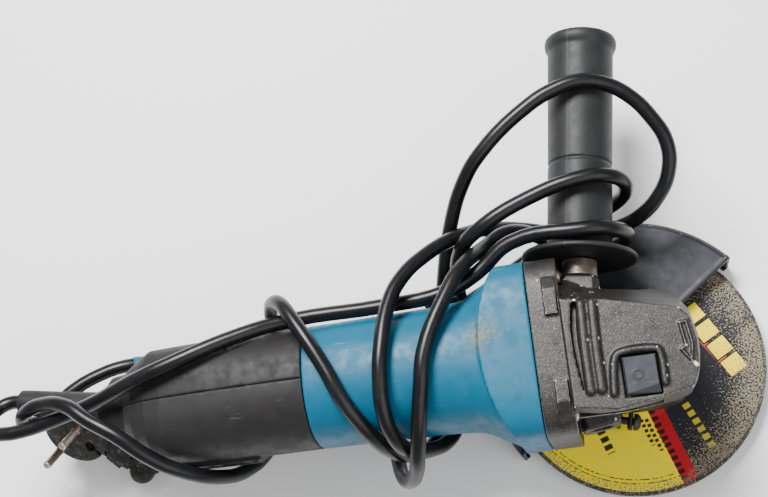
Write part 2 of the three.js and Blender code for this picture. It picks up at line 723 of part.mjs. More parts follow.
function slideKnob() {
  const knob = hull([
    [-91, 28, -7], [-74, 28, -7], [-91, 28, 6], [-74, 28, 6],
    [-91, 30.4, -7], [-74, 31, -7], [-91, 30.4, 6], [-74, 31, 6],
    [-88.5, 34.2, -5.6], [-75.5, 35.4, -5.6], [-88.5, 34.2, 4.6], [-75.5, 35.4, 4.6],
  ]);
  const grips = [0, 1, 2].map((i) => box(-86 + 3.4 * i, -84.6 + 3.4 * i, 33.8, 40, -8, 8));
  const housing = loft([section(-110, 29.4, 29.4, 2.25), section(-66, 32.8, 31.4, 2.6)]);
  const foot = box(-86, -80, 24.9, 31.6, -2.6, 2.6);
  return join(cut(knob, housing, ...grips), foot);
}

function slideRod() {
  return join(box(-181, -79, 23.4, 24.6, -2.2, 2.2), box(-182, -180.6, 9.4, 24.6, -2.2, 2.2));
}

function switchBody() {
  const body = box(-214, -186, -9, 11, -12, 10);
  return cut(body, box(-188, -180, -12, 14, -4, 4));
}

// ---------------------------------------------------------------- rear handle

function handleOuter() {
  return loft([
    section(HOUSING_REAR - GAP, 28.4, 28.4, 2.2),
    section(-165, 28.4, 28.2, 2.3),
    section(-195, 28.2, 27.4, 2.5),
    section(-214, 27.4, 26, 2.8),
    section(-222, 26, 24.6, 3, 1),
    section(-230, 21.4, 21, 3, 1),
    section(HANDLE_REAR, 17, 17.6, 3, 2),
    section(HANDLE_REAR - 1, 15.4, 15.4, 3, 3),
    section(TAIL_REAR - 5, 13.4, 12.6, 3, 3),
  ]);
}

function handleInner() {
  return loft([
    section(HOUSING_REAR + 1, 25.8, 25.8, 2.2),
    section(-165, 25.8, 25.6, 2.3),
    section(-195, 25.6, 24.8, 2.5),
    section(-214, 24.8, 23.4, 2.8),
    section(-222, 23.2, 21.8, 3, 1),
    section(-230, 18.4, 18, 3, 1),
    section(HANDLE_REAR + 1, 12.4, 12.4, 2.4, 2),
    section(TAIL_REAR + 3, 10.6, 10.4, 2.2, 3),
  ]);
}

const HANDLE_BOSSES = [[-181, -19.6], [-181, 19.6], [-221, -16.4]];

function louvrePanel() {
  return hull([
    [-216, -24, -12], [-172, -26, -12], [-216, -24, 2], [-172, -26, 2],
    [-213, -30, -10], [-176, -30.6, -10], [-213, -29.6, 0], [-176, -30.2, 0],
  ]);
}

function rearHandle(side) {
  const bosses = HANDLE_BOSSES.map(([x, z]) =>
    toSolid(new THREE.CylinderGeometry(4.6, 4.6, 46, 12).translate(x, 0, z)));
  const shell = join(
    cut(join(handleOuter(), louvrePanel()), handleInner()),
    ...bosses.map((boss) => boss.intersect(handleOuter())),
  );
  const half = side > 0 ? box(-300, 0, GAP / 2, 60, -60, 60) : box(-300, 0, -60, -GAP / 2, -60, 60);
  const screwBores = HANDLE_BOSSES.map(([x, z]) => {
    const [radius, reach] = side < 0 ? [1.5, 16] : [2, 60];
    const shank = toSolid(new THREE.CylinderGeometry(radius, radius, reach * 2, 8).translate(x, 0, z));
    const head = toSolid(new THREE.CylinderGeometry(3.4, 3.4, 30, 10).translate(x, 26, z));
    return side < 0 ? shank : join(shank, head);
  });
  const [near, far] = side > 0 ? [20, 40] : [-40, -20];
  const slots = Array.from({ length: 5 }, (_, i) =>
    box(-211 + 7.4 * i, -208 + 7.4 * i, near, far, -8.4, -1.6));
  const seat = turnedSleeve(rod(-30, 30, 7.4));
  const tailFace = turnedSleeve(rod(0, 40, 40));
  const groove = turnedSleeve(rod(-9.4, -5.6, 10.4));
  return cut(shell.intersect(half), ...screwBores, ...slots, seat, groove, tailFace);
}

function handleScrew(x, z) {
  const profile = [[-12, 0], [-12, 1.2], [11.4, 1.2], [11.4, 3], [13.6, 3], [13.6, 0]];
  const body = turned(profile, 10);
  const cross = join(
    toSolid(new THREE.BoxGeometry(3.6, 2, 0.8).translate(x, 13.6, z)),
    toSolid(new THREE.BoxGeometry(0.8, 2, 3.6).translate(x, 13.6, z)),
  );
  return cut(toSolid(body.translate(x, 0, z)), cross);
}

// ---------------------------------------------------------------- cord guard, clamp and plug

function cordGuard() {
  const outside = turnedSleeve([
    [-8.6, 0], [-8.6, 10], [-6.2, 10], [-6.2, 7], [0.4, 7], [0.4, 12.6], [3.4, 12.2], [5.2, 9.4],
    [9, 7.8], [SLEEVE_LENGTH - 2, 5.7], [SLEEVE_LENGTH - 1.6, 6.3], [SLEEVE_LENGTH, 6.1],
    [SLEEVE_LENGTH, 0],
  ], 20);
  return cut(outside, turnedSleeve(rod(-20, SLEEVE_LENGTH + 10, 4.2), 14));
}

function cordClamp() {
  const strap = box(-226, -219, -8.5, 12.5, 4.8, 7.4);
  const feet = join(box(-226, -219, -8.5, -5.4, -2, 7.2), box(-226, -219, 9.4, 12.5, -2, 7.2));
  return join(strap, feet);
}

// The plug lies on its strain relief: PLUG_OUT is the way its pins point, PLUG_DOWN the way to the relief.
const PLUG_CENTRE = new THREE.Vector3(-282.5, -1, -30);
const PLUG_OUT = new THREE.Vector3(-0.246, -0.667, 0.703).normalize();
const PLUG_SLOPE = new THREE.Vector3(0.633, -0.66, -0.405);
const PLUG_DOWN = PLUG_SLOPE.projectOnPlane(PLUG_OUT).normalize();
const PLUG_ACROSS = new THREE.Vector3().crossVectors(PLUG_OUT, PLUG_DOWN);
const PLUG_RADIUS = 18;
const PIN_SPACING = 19;
const RELIEF_CENTRE = [-254.7, -21, -51];
const RELIEF_RADIUS = 6.6;

// A solid that is drawn with the plug's pins along +Z and its strain relief toward +X.
function plugFrame(geometry) {
  const turn = new THREE.Matrix4().makeBasis(PLUG_DOWN, PLUG_ACROSS.clone().negate(), PLUG_OUT);
  turn.setPosition(PLUG_CENTRE);
  return toSolid(geometry.applyMatrix4(turn));
}

function plugBody() {
  const face = plugFrame(turned([
    [-16, 0], [-16, 7.5], [-13, 10], [-6, 13.5], [-4.4, PLUG_RADIUS - 0.4],
    [-0.8, PLUG_RADIUS], [0, PLUG_RADIUS - 0.8], [0, 0],
  ], 24).rotateX(Math.PI / 2));
  const keyhole = join(
    plugFrame(new THREE.CylinderGeometry(2.9, 2.9, 9, 12).rotateX(Math.PI / 2).translate(10.4, 0, 0)),
    plugFrame(new THREE.BoxGeometry(9, 2.6, 9).translate(15, 0, 0)),
  );
  const pinHoles = [-1, 1].map((end) => {
    const hole = new THREE.CylinderGeometry(2.6, 2.6, 8, 10).rotateX(Math.PI / 2);
    return plugFrame(hole.translate(0, end * PIN_SPACING / 2, 0));
  });
  const taper = new THREE.CylinderGeometry(4.6, 7.4, 24, 14).rotateZ(-Math.PI / 2);
  const tail = plugFrame(taper.translate(21, 0, -9.5));
  const wing = plugFrame(new THREE.BoxGeometry(9, 13, 4).translate(25, 0, -8));
  const relief = toSolid(new THREE.SphereGeometry(RELIEF_RADIUS, 12, 8).translate(...RELIEF_CENTRE));
  const outlet = alongCord(new THREE.CylinderGeometry(5, 5.6, 9, 12));
  return cut(join(face, tail, wing, relief, outlet), keyhole, ...pinHoles);
}

function plugPin(end) {
  const profile = [[-3.6, 0], [-3.6, 2.3], [18, 2.3], [19, 1.6], [19, 0]];
  return plugFrame(turned(profile, 12).rotateX(Math.PI / 2).translate(0, end * PIN_SPACING / 2, 0));
}

// ---------------------------------------------------------------- cord

// From the cord guard: forward along the motor, three turns around the motor and the side handle,
// back along the left side, over the rear of the handle and under it to the plug.
const CORD_ROUTE = [
  [-295.4, 12.8, 0], [-301, 12.9, 0.3], [-305.9, 10.6, 2.2], [-308.6, 6.2, 6], [-308.2, 0.8, 10.4],
  [-303.6, -3.4, 14.2], [-295.6, -5.1, 15.7], [-286, -4.6, 15.6], [-277, -3, 15.6], [-251, 2.2, 20],
  [-225, 8.5, 29.6], [-210, 12.5, 31.6], [-172, 25.1, 23.2], [-150, 30, 16], [-108, 30.5, 15],
  [-78, 32.8, 15], [-63, 39.4, 14.6], [-46, 50.3, 18.2], [-14, 50.2, 22.8], [-4, 50, 20.5],
  [4, 50, 12], [6.3, 50, 1], [3, 50.6, -9], [-7, 52, -16.8], [-21, 54.5, -18.3], [-33, 60, -14],
  [-42, 62.5, -7], [-50, 60.5, 0], [-57.5, 54.6, 5], [-69, 40, 24.5], [-75.5, 29, 29.5],
  [-88, 3, 33.4], [-91, -11, 32], [-98, -38.5, 17.5], [-101.3, -45, 6], [-106, -47.5, -5],
  [-111, -45, -15], [-114.5, -37, -24], [-117, -26, -31], [-124, -11, -35], [-136, 3, -36],
  [-149, 16, -33.5], [-158, 27, -26], [-163, 33.5, -14], [-164.5, 35.5, -1], [-162, 38.4, 10],
  [-157.5, 38.6, 19.5], [-152, 34.6, 27], [-146.6, 26.6, 31.6], [-133, 2, 33.2], [-127, -12, 31.2],
  [-121, -23, 24.6], [-116, -30.4, 15], [-111, -34.6, 3], [-106.5, -35.4, -7], [-101, -33.8, -15],
  [-96, -28.5, -23], [-92, -20, -31], [-90.5, -8, -35.8], [-88.5, 18, -35.5], [-87, 29, -29],
  [-81.5, 48, -12.5], [-73, 71, 1], [-65, 84.5, 10], [-55, 95, 17], [-29, 113, 22.8],
  [-16, 118.5, 23.6], [-4, 120.5, 23], [7, 118.3, 20], [17, 111.5, 17], [25, 101, 14],
  [30.3, 88.5, 10.5], [29, 76, 5], [22.5, 67, -2], [14, 62, -9], [4, 60.5, -17], [-8, 60.3, -22.3],
  [-23, 62.8, -23.6], [-40, 67, -20], [-54, 67, -11], [-71, 60, 8], [-88, 48.5, 19], [-96, 40, 24],
  [-101.5, 30, 28], [-107, 6, 33.6], [-108.6, -7, 33.2], [-109, -18.5, 30.6], [-107.5, -29, 23.5],
  [-103.7, -35.2, 13], [-94, -33.9, -7.5], [-89.3, -30.2, -17.2], [-85.3, -22.6, -26.6],
  [-82.3, -10.5, -33.3], [-80.5, 3, -34.8], [-78, 15, -33.3], [-76.3, 26, -27.5], [-74.8, 41.5, -9],
  [-69, 52.7, 11.5], [-61, 57.5, 19], [-34, 69, 22.3], [-8, 74.2, 22.9], [1, 74.2, 20],
  [7.5, 73.6, 12.5], [9.2, 72.8, 3], [7, 71.5, -6], [-6, 69.3, -21], [-15, 68.3, -28.5],
  [-26, 64.5, -33.8], [-54, 49.5, -34.8], [-68, 42.5, -36.5], [-98, 34, -46], [-120, 31, -49.5],
  [-150, 30, -50], [-180, 30.5, -48.5], [-205, 31, -42.5], [-236, 29, -26], [-249, 28, -20],
  [-262, 24.5, -17], [-275, 18, -14.5], [-283.5, 11, -13], [-289, 4.4, -8.6], [-291.2, 1.2, -1.6],
  [-291, 0.8, 6], [-288, 2.8, 12.6], [-282.5, 4.4, 17.4], [-275, 5.4, 20.8], [-258, 1.5, 28.4],
  [-247, -6.5, 30], [-234, -15, 29], [-222, -25, 23], [-211.5, -31.6, 13.5], [-194, -34.9, -8.5],
  [-187, -31, -19.5], [-181.5, -24, -29], [-179, -14.5, -36.5], [-183, -5.5, -42.5], [-193, 0, -46],
  [-206, -1, -48], [-233, -10.5, -51], [-243.6, -15.5, -51.5],
];

// The cord's middle line runs straight from point to point of its route.
class Route extends THREE.Curve {
  getPoint(t, target = new THREE.Vector3()) {
    const place = t * (CORD_ROUTE.length - 1);
    const i = Math.min(Math.floor(place), CORD_ROUTE.length - 2);
    const [from, to] = [CORD_ROUTE[i], CORD_ROUTE[i + 1]].map((p) => new THREE.Vector3(...p));
    return target.lerpVectors(from, to, place - i);
  }

  getUtoTmapping(u) {
    return u;
  }

  getTangent(t, target = new THREE.Vector3()) {
    const i = Math.round(t * (CORD_ROUTE.length - 1));
    const before = new THREE.Vector3(...CORD_ROUTE[Math.max(i - 1, 0)]);
    const after = new THREE.Vector3(...CORD_ROUTE[Math.min(i + 1, CORD_ROUTE.length - 1)]);
    return target.subVectors(after, before).normalize();
  }
}

function powerCord() {
  return sweep(new Route(), CORD_RADIUS, 8, CORD_ROUTE.length - 1);
}

// Moves a solid drawn about +Y to the plug end of the cord, pointing along it, with GAP between.
function alongCord(geometry) {
  const [before, end] = CORD_ROUTE.slice(-2).map((p) => new THREE.Vector3(...p));
  const way = new THREE.Vector3().subVectors(end, before).normalize();
  const turn = new THREE.Quaternion().setFromUnitVectors(new THREE.Vector3(0, 1, 0), way);
  geometry.translate(0, geometry.parameters.height / 2 + GAP, 0).applyQuaternion(turn);
  return toSolid(geometry.translate(...end.toArray()));
}

// ---------------------------------------------------------------- side handle

function grip() {
  return cut(
    turnedHandle([
      [41.6, 0], [41.6, 25], [42.2, 26.3], [43.6, 26.3], [44.4, 25], [45.2, 15.6], [47, 14.6],
      [86, 14.9], [86.4, 14.4], [87.4, 14.4], [87.8, 14.9], [145.4, 15.5], [146.2, 16.8], [148.4, 17.2],
      [150.6, 16.6], [151.6, 13], [151.8, 0],
    ], 24),
    turnedHandle(rod(30, 74, 4.3), 14),
  );
}

function handleStud() {
  return turnedHandle([
    [22, 0], [22, 4], [23, 4.8], [33.6, 4.8], [33.6, 8.2], [40.4, 7.8], [41.2, 7.8], [41.2, 4],
    [73, 4], [73, 0],
  ], 18);
}

// ---------------------------------------------------------------- the whole

const parts = new THREE.Group();
parts.name = 'angle_grinder';
parts.add(
  part('motor_housing', motorHousing(), BLUE, 0.5, 0),
  part('gear_housing', gearHousing(), CAST_GREY, 0.5, 0.7),
  part('bearing_box', bearingBox(), CAST_GREY, 0.5, 0.7),
  part('spindle', spindle(), STEEL, 0.35, 1),
  part('spindle_bearing', ballBearingZ(-37.2, -27.2, 6, 16), STEEL, 0.3, 1),
  part('spindle_top_bearing', ballBearingZ(19.6, 27, 4.3, 8), STEEL, 0.3, 1),
  part('crown_gear', crownGear(), DARK_STEEL, 0.4, 1),
  part('pinion', pinion(), DARK_STEEL, 0.4, 1),
  part('inner_flange', innerFlange(), STEEL, 0.35, 1),
  part('grinding_wheel', grindingWheel(), 0xb8a21c, 0.9, 0),
  part('lock_nut', lockNut(), STEEL, 0.35, 1),
  part('wheel_guard', wheelGuard(), DARK_STEEL, 0.45, 0.6),
  part('guard_clamp_screw', clampScrew(), DARK_STEEL, 0.4, 1),
  part('guard_clamp_nut', clampNut(), DARK_STEEL, 0.4, 1),
  part('lock_button', lockButton(), 0x4a4b4f, 0.6, 0),
  part('lock_pin', lockPin(), STEEL, 0.3, 1),
  part('lock_spring', coilSpring(LOCK_X, LOCK_Y, 26, 33.6, 3.5, 0.4, 4), STEEL, 0.3, 1),
  part('armature_shaft', armatureShaft(), STEEL, 0.3, 1),
  part('armature_core', armatureCore(), 0x6b6a68, 0.5, 0.8),
  part('armature_winding_front', windingRing(-85.6, -77), COPPER, 0.5, 0.7),
  part('armature_winding_rear', windingRing(-137, -126.4), COPPER, 0.5, 0.7),
  part('commutator', commutator(), COPPER, 0.3, 1),
  part('cooling_fan', coolingFan(), CHARCOAL, 0.6, 0),
  part('front_bearing', ballBearingX(-34, -25.2, 5, 13), STEEL, 0.3, 1),
  part('rear_bearing', ballBearingX(-173, -166.2, 4.2, 9.5), STEEL, 0.3, 1),
  part('stator', stator(), 0x6b6a68, 0.5, 0.8),
  part('field_coil_upper_front', fieldCoil(-83.6, -75, 1), COPPER, 0.5, 0.7),
  part('field_coil_lower_front', fieldCoil(-83.6, -75, -1), COPPER, 0.5, 0.7),
  part('baffle_ring', baffleRing(), CHARCOAL, 0.6, 0),
  part('brush_left', brush(1), 0x222222, 0.8, 0.2),
  part('brush_right', brush(-1), 0x222222, 0.8, 0.2),
  part('brush_holder_left', brushHolder(1), BRASS, 0.4, 1),
  part('brush_holder_right', brushHolder(-1), BRASS, 0.4, 1),
  part('slide_knob', slideKnob(), CHARCOAL, 0.6, 0),
  part('slide_rod', slideRod(), STEEL, 0.4, 0.8),
  part('switch_body', switchBody(), 0x222222, 0.6, 0),
  part('rear_handle_left', rearHandle(1), CHARCOAL, 0.7, 0),
  part('rear_handle_right', rearHandle(-1), CHARCOAL, 0.7, 0),
  part('cord_guard', cordGuard(), RUBBER, 0.8, 0),
  part('cord_clamp', cordClamp(), 0x333333, 0.6, 0),
  part('plug_body', plugBody(), RUBBER, 0.6, 0),
  part('plug_pin_left', plugPin(-1), BRASS, 0.3, 1),
  part('plug_pin_right', plugPin(1), BRASS, 0.3, 1),
  part('power_cord', powerCord(), RUBBER, 0.5, 0),
  part('side_grip', grip(), CHARCOAL, 0.6, 0),
  part('side_handle_stud', handleStud(), STEEL, 0.4, 1),
);
CORNERS.forEach(([sy, sz], i) => {
  const y = sy * HEAD_SCREW_Y;
  const z = sz * HEAD_SCREW_Z;
  const screw = screwAlongX(FLANGE_FRONT - 2.3, FLANGE_FRONT + 1.2, -54, y, z);
  parts.add(part(`head_screw_${i + 1}`, screw, STEEL, 0.4, 1));
});
CORNERS.forEach(([sx, sy], i) => {
  const screw = screwAlongZ(BOX_BOTTOM + 2.1, BOX_BOTTOM + 0.2, -16, sx * COVER_SCREW, sy * COVER_SCREW);
  parts.add(part(`cover_screw_${i + 1}`, screw, STEEL, 0.4, 1));
});
HANDLE_BOSSES.forEach(([x, z], i) => {
  parts.add(part(`handle_screw_${i + 1}`, handleScrew(x, z), STEEL, 0.4, 1));
});

// The origin goes under the middle of everything but the cord and what hangs on it.
const CORD_NODES = ['power_cord', 'plug_body', 'plug_pin_left', 'plug_pin_right'];
const bounds = new THREE.Box3();
parts.children
  .filter((mesh) => !CORD_NODES.includes(mesh.name))
  .forEach((mesh) => bounds.expandByObject(mesh));
const middle = bounds.getCenter(new THREE.Vector3());
parts.position.set(-middle.x, -middle.y, AXIS_HEIGHT);

export default parts;
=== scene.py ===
# The looks of a corded angle grinder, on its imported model.
# Shapes are drawn in millimetres from the point where the motor's axis meets the spindle's,
# X forward, Y left and Z up, as in the model's source, and at() moves them to the model's frame.

import json
import math

import bmesh
import bpy
from mathutils import Matrix, Quaternion, Vector

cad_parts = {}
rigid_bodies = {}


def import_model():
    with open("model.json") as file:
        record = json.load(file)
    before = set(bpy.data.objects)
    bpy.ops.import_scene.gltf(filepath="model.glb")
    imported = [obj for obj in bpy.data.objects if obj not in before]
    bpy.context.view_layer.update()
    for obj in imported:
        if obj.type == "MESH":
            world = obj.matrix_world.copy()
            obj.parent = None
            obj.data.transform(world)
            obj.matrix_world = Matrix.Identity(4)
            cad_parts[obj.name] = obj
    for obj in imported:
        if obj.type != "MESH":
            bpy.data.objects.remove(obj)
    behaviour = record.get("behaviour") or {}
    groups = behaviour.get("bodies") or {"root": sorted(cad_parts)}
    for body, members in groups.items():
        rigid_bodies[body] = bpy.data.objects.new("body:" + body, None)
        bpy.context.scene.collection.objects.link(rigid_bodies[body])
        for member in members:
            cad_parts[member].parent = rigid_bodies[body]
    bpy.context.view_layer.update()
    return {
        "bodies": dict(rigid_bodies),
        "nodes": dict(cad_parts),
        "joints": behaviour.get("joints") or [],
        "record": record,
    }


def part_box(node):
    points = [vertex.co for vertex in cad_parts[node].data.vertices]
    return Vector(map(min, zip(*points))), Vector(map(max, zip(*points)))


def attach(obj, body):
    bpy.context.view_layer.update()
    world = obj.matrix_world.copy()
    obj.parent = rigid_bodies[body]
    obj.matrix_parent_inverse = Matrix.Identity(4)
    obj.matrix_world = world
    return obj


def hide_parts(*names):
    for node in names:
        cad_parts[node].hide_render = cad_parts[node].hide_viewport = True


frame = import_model()


def middle_of(node):
    low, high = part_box(node)
    return (low + high) / 2


MM = 0.001
ORIGIN = Vector((*middle_of("grinding_wheel").xy, middle_of("commutator").z))


def at(x, y, z):
    """A point of the drawing, in the model's frame."""
    return ORIGIN + Vector((x, y, z)) * MM


# ------------------------------------------------------------------ camera

CAMERA_PLACE = (-7.5, -106.2, 540.9)
CAMERA_RIGHT = Vector((0.973, -0.095, -0.209))
CAMERA_LOOK = Vector((-0.173, 0.293, -0.940))
FOCAL_RATIO = 1.5677


def make_camera():
    data = bpy.data.cameras.new("camera")
    data.sensor_width = 36
    data.lens = FOCAL_RATIO * data.sensor_width
    data.clip_start = 0.01
    data.clip_end = 20
    camera = bpy.data.objects.new("camera", data)
    bpy.context.scene.collection.objects.link(camera)
    back = -CAMERA_LOOK.normalized()
    right = (CAMERA_RIGHT - back * CAMERA_RIGHT.dot(back)).normalized()
    up = back.cross(right)
    turn = Matrix((right, up, back)).transposed()
    camera.matrix_world = Matrix.Translation(at(*CAMERA_PLACE)) @ turn.to_4x4()
    bpy.context.scene.camera = camera


make_camera()

# ------------------------------------------------------------------ materials


class Surface:
    """A node material on one Principled shader, built up by short calls."""

    def __init__(self, name, color, roughness, metallic=0.0, shine=0.5):
        self.material = bpy.data.materials.new(name)
        self.material.use_nodes = True
        self.tree = self.material.node_tree
        self.shader = self.tree.nodes["Principled BSDF"]
        self.shader.inputs["Metallic"].default_value = metallic
        self.shader.inputs["Roughness"].default_value = roughness
        self.shader.inputs["Specular IOR Level"].default_value = shine
        self.shader.inputs["Base Color"].default_value = (*color, 1)
        self.color = (*color, 1)
        self.place = self.tree.nodes.new("ShaderNodeTexCoord").outputs["Object"]
        self.height = None
        self.rough = roughness

    def node(self, kind, **inputs):
        made = self.tree.nodes.new(kind)
        for key, value in inputs.items():
            self.set(made, key, value)
        return made

    def set(self, node, key, value):
        socket = node.inputs[key]
        if isinstance(value, bpy.types.NodeSocket):
            self.tree.links.new(value, socket)
        elif isinstance(value, tuple) and len(value) == 3 and socket.type == "RGBA":
            socket.default_value = (*value, 1)
        else:
            socket.default_value = value

    def stretched(self, scale):
        made = self.node("ShaderNodeMapping", Vector=self.place)
        made.inputs["Scale"].default_value = scale
        return made.outputs["Vector"]

    def noise(self, size_mm, detail=4, rough=0.55, stretch=None):
        """Noise from 0 to 1 with features of about that size."""
        place = self.stretched(stretch) if stretch else self.place
        made = self.node("ShaderNodeTexNoise", Vector=place, Scale=1000 / size_mm)
        made.inputs["Detail"].default_value = detail
        made.inputs["Roughness"].default_value = rough
        return made.outputs["Fac"]

    def cells(self, size_mm):
        made = self.node("ShaderNodeTexVoronoi", Vector=self.place, Scale=1000 / size_mm)
        return made.outputs["Color"]

    def math(self, operation, a, b=0.5, c=None, clamp=False):
        made = self.tree.nodes.new("ShaderNodeMath")
        made.operation = operation
        made.use_clamp = clamp
        for i, value in enumerate((a, b, c)):
            if isinstance(value, bpy.types.NodeSocket):
                self.tree.links.new(value, made.inputs[i])
            elif value is not None:
                made.inputs[i].default_value = value
        return made.outputs[0]

    def above(self, value, low, high):
        """0 below low, 1 above high, and smooth between."""
        made = self.node("ShaderNodeMapRange", Value=value)
        made.interpolation_type = "SMOOTHSTEP"
        made.inputs["From Min"].default_value = low
        made.inputs["From Max"].default_value = high
        return made.outputs["Result"]

    def axis(self, name):
        made = self.node("ShaderNodeSeparateXYZ", Vector=self.place)
        return made.outputs[name]

    def edges(self, low, high):
        """Where the surface is an outer edge."""
        geometry = self.tree.nodes.new("ShaderNodeNewGeometry")
        return self.above(geometry.outputs["Pointiness"], low, high)

    def hollows(self, low, high):
        geometry = self.tree.nodes.new("ShaderNodeNewGeometry")
        return self.above(geometry.outputs["Pointiness"], high, low)

    def below(self, value, low, high):
        """1 below low, 0 above high."""
        return self.above(value, high, low)

    def offset_from(self, place):
        """Millimetres from a point of the model."""
        made = self.tree.nodes.new("ShaderNodeVectorMath")
        made.operation = "SUBTRACT"
        self.tree.links.new(self.place, made.inputs[0])
        made.inputs[1].default_value = place
        grown = self.tree.nodes.new("ShaderNodeVectorMath")
        grown.operation = "SCALE"
        self.tree.links.new(made.outputs["Vector"], grown.inputs[0])
        grown.inputs["Scale"].default_value = 1 / MM
        return grown.outputs["Vector"]

    def dot(self, vector, way):
        made = self.tree.nodes.new("ShaderNodeVectorMath")
        made.operation = "DOT_PRODUCT"
        self.tree.links.new(vector, made.inputs[0])
        made.inputs[1].default_value = way
        return made.outputs["Value"]

    def length(self, vector):
        """How far a point is from the spindle's axis."""
        x, y = self.dot(vector, (1, 0, 0)), self.dot(vector, (0, 1, 0))
        return self.math("SQRT", self.math("ADD", self.math("MULTIPLY", x, x), self.math("MULTIPLY", y, y)))

    def triangle(self, local):
        """The pointed mark beside the label's band."""
        left = self.above(self.dot(local, (0.845, 0.534, 0)), 31.4, 31.8)
        top = self.below(self.dot(local, (0.342, 0.94, 0)), 17.7, 18.1)
        right = self.below(self.dot(local, (0.998, 0.0665, 0)), 43.9, 44.3)
        return self.math("MULTIPLY", self.math("MULTIPLY", left, right), top)

    def dashes(self, local, place, way, step, dash, length, half_height):
        """A row of blocks along a line, and the same blocks a little larger."""
        x, y = place
        along = self.math("SUBTRACT", self.dot(local, (*way, 0)), x * way[0] + y * way[1] - length / 2)
        side = (-way[1], way[0])
        beside = self.dot(local, (*side, 0))
        over = self.math("ABSOLUTE", self.math("SUBTRACT", beside, x * side[0] + y * side[1]))
        inside = self.math("MULTIPLY", self.above(along, 0, 0.1), self.below(along, length, length + 0.1))
        phase = self.math("MODULO", along, step)
        out = []
        for grow in (0, 0.7):
            row = self.below(over, half_height + grow - 0.15, half_height + grow + 0.15)
            begun = self.above(phase, 0.5 - grow, 0.7 - grow)
            block = self.math("MULTIPLY", begun, self.below(phase, dash + grow, dash + grow + 0.2))
            out.append(self.math("MULTIPLY", inside, self.math("MULTIPLY", row, block)))
        return out

    def stain_at(self, place, reach_mm):
        """1 at a point of the model, falling to 0 at that distance from it."""
        made = self.tree.nodes.new("ShaderNodeVectorMath")
        made.operation = "DISTANCE"
        self.tree.links.new(self.place, made.inputs[0])
        made.inputs[1].default_value = place
        return self.above(made.outputs["Value"], reach_mm * MM, 0)

    def upward(self, low, high):
        geometry = self.tree.nodes.new("ShaderNodeNewGeometry")
        split = self.node("ShaderNodeSeparateXYZ", Vector=geometry.outputs["Normal"])
        return self.above(split.outputs["Z"], low, high)

    def tint(self, amount, color):
        """Lays a colour over what is there, by amount."""
        made = self.tree.nodes.new("ShaderNodeMix")
        made.data_type = "RGBA"
        base = self.shader.inputs["Base Color"]
        if base.is_linked:
            self.tree.links.new(base.links[0].from_socket, made.inputs[6])
        else:
            made.inputs[6].default_value = self.color
        if isinstance(color, bpy.types.NodeSocket):
            self.tree.links.new(color, made.inputs[7])
        else:
            made.inputs[7].default_value = (*color, 1)
        self.tree.links.new(amount, made.inputs[0])
        self.tree.links.new(made.outputs[2], base)
        return self

    def gloss(self, amount, roughness):
        """Moves the roughness to another value, by amount."""
        self.mix_value("Roughness", amount, roughness)
        return self

    def metal(self, amount, value):
        self.mix_value("Metallic", amount, value)
        return self

    def mix_value(self, key, amount, value):
        made = self.tree.nodes.new("ShaderNodeMix")
        socket = self.shader.inputs[key]
        if socket.is_linked:
            self.tree.links.new(socket.links[0].from_socket, made.inputs[2])
        else:
            made.inputs[2].default_value = socket.default_value
        made.inputs[3].default_value = value
        self.tree.links.new(amount, made.inputs[0])
        self.tree.links.new(made.outputs[0], socket)

    def bump(self, height, depth_mm):
        made = self.node("ShaderNodeBump", Height=height)
        made.inputs["Distance"].default_value = depth_mm * MM
        made.inputs["Strength"].default_value = 1
        normal = self.shader.inputs["Normal"]
        if normal.is_linked:
            self.tree.links.new(normal.links[0].from_socket, made.inputs["Normal"])
        self.tree.links.new(made.outputs["Normal"], normal)
        return self


def moulded(name, color, roughness, dirt=(0.09, 0.075, 0.06), dirt_amount=0.5, scuffs=(0.3, 0.29, 0.28)):
    """Moulded plastic: fine grain, faint blotches, scratches and dirt."""
    s = Surface(name, color, roughness, shine=0.25)
    s.tint(s.math("MULTIPLY", s.above(s.noise(9, 5), 0.45, 0.75), dirt_amount * 0.55), dirt)
    s.tint(s.math("MULTIPLY", s.above(s.noise(1.3, 6, 0.7), 0.62, 0.72), dirt_amount), dirt)
    scratch = s.above(s.noise(2.2, 5, 0.6, stretch=(0.12, 1.6, 1.6)), 0.66, 0.72)
    s.tint(s.math("MULTIPLY", scratch, 0.35), scuffs)
    s.tint(s.math("MULTIPLY", s.edges(0.53, 0.6), 0.3), scuffs)
    s.gloss(s.above(s.noise(5, 4), 0.35, 0.7), min(1, roughness + 0.18))
    s.bump(s.noise(0.45, 3), 0.03)
    s.bump(s.noise(14, 2), 0.12)
    return s


def cast(name, color):
    """Die-cast metal: speckled grain, rubbed bright on its edges, with painted shade in the hollows."""
    s = Surface(name, color, 0.44, metallic=0.6)
    s.tint(s.above(s.noise(7, 4), 0.5, 0.72), (0.014, 0.0128, 0.012))
    s.tint(s.math("MULTIPLY", s.above(s.noise(0.42, 2, 0.5), 0.58, 0.68), 0.6), (0.15, 0.146, 0.143))
    s.tint(s.math("MULTIPLY", s.above(s.noise(0.7, 3, 0.6), 0.6, 0.7), 0.5), (0.015, 0.014, 0.013))
    # Painted shade: the hollows are darkened nearly to black.
    s.tint(s.math("MULTIPLY", s.hollows(0.43, 0.49), 0.85), (0.012, 0.010, 0.007))
    s.tint(s.math("MULTIPLY", s.above(s.noise(4.5, 5, 0.6), 0.58, 0.66), 0.5), (0.045, 0.034, 0.016))
    rubbed = s.math("MULTIPLY", s.edges(0.53, 0.575), s.above(s.noise(2.5, 3), 0.33, 0.48))
    s.tint(rubbed, (0.6, 0.58, 0.55))
    s.gloss(rubbed, 0.25)
    chips = s.math("MULTIPLY", s.above(s.noise(5, 3, 0.5), 0.72, 0.74), s.upward(0.7, 0.95))
    s.tint(chips, (0.55, 0.54, 0.52))
    s.bump(s.noise(0.5, 2), 0.1)
    s.bump(s.noise(2.4, 2), 0.08)
    return s


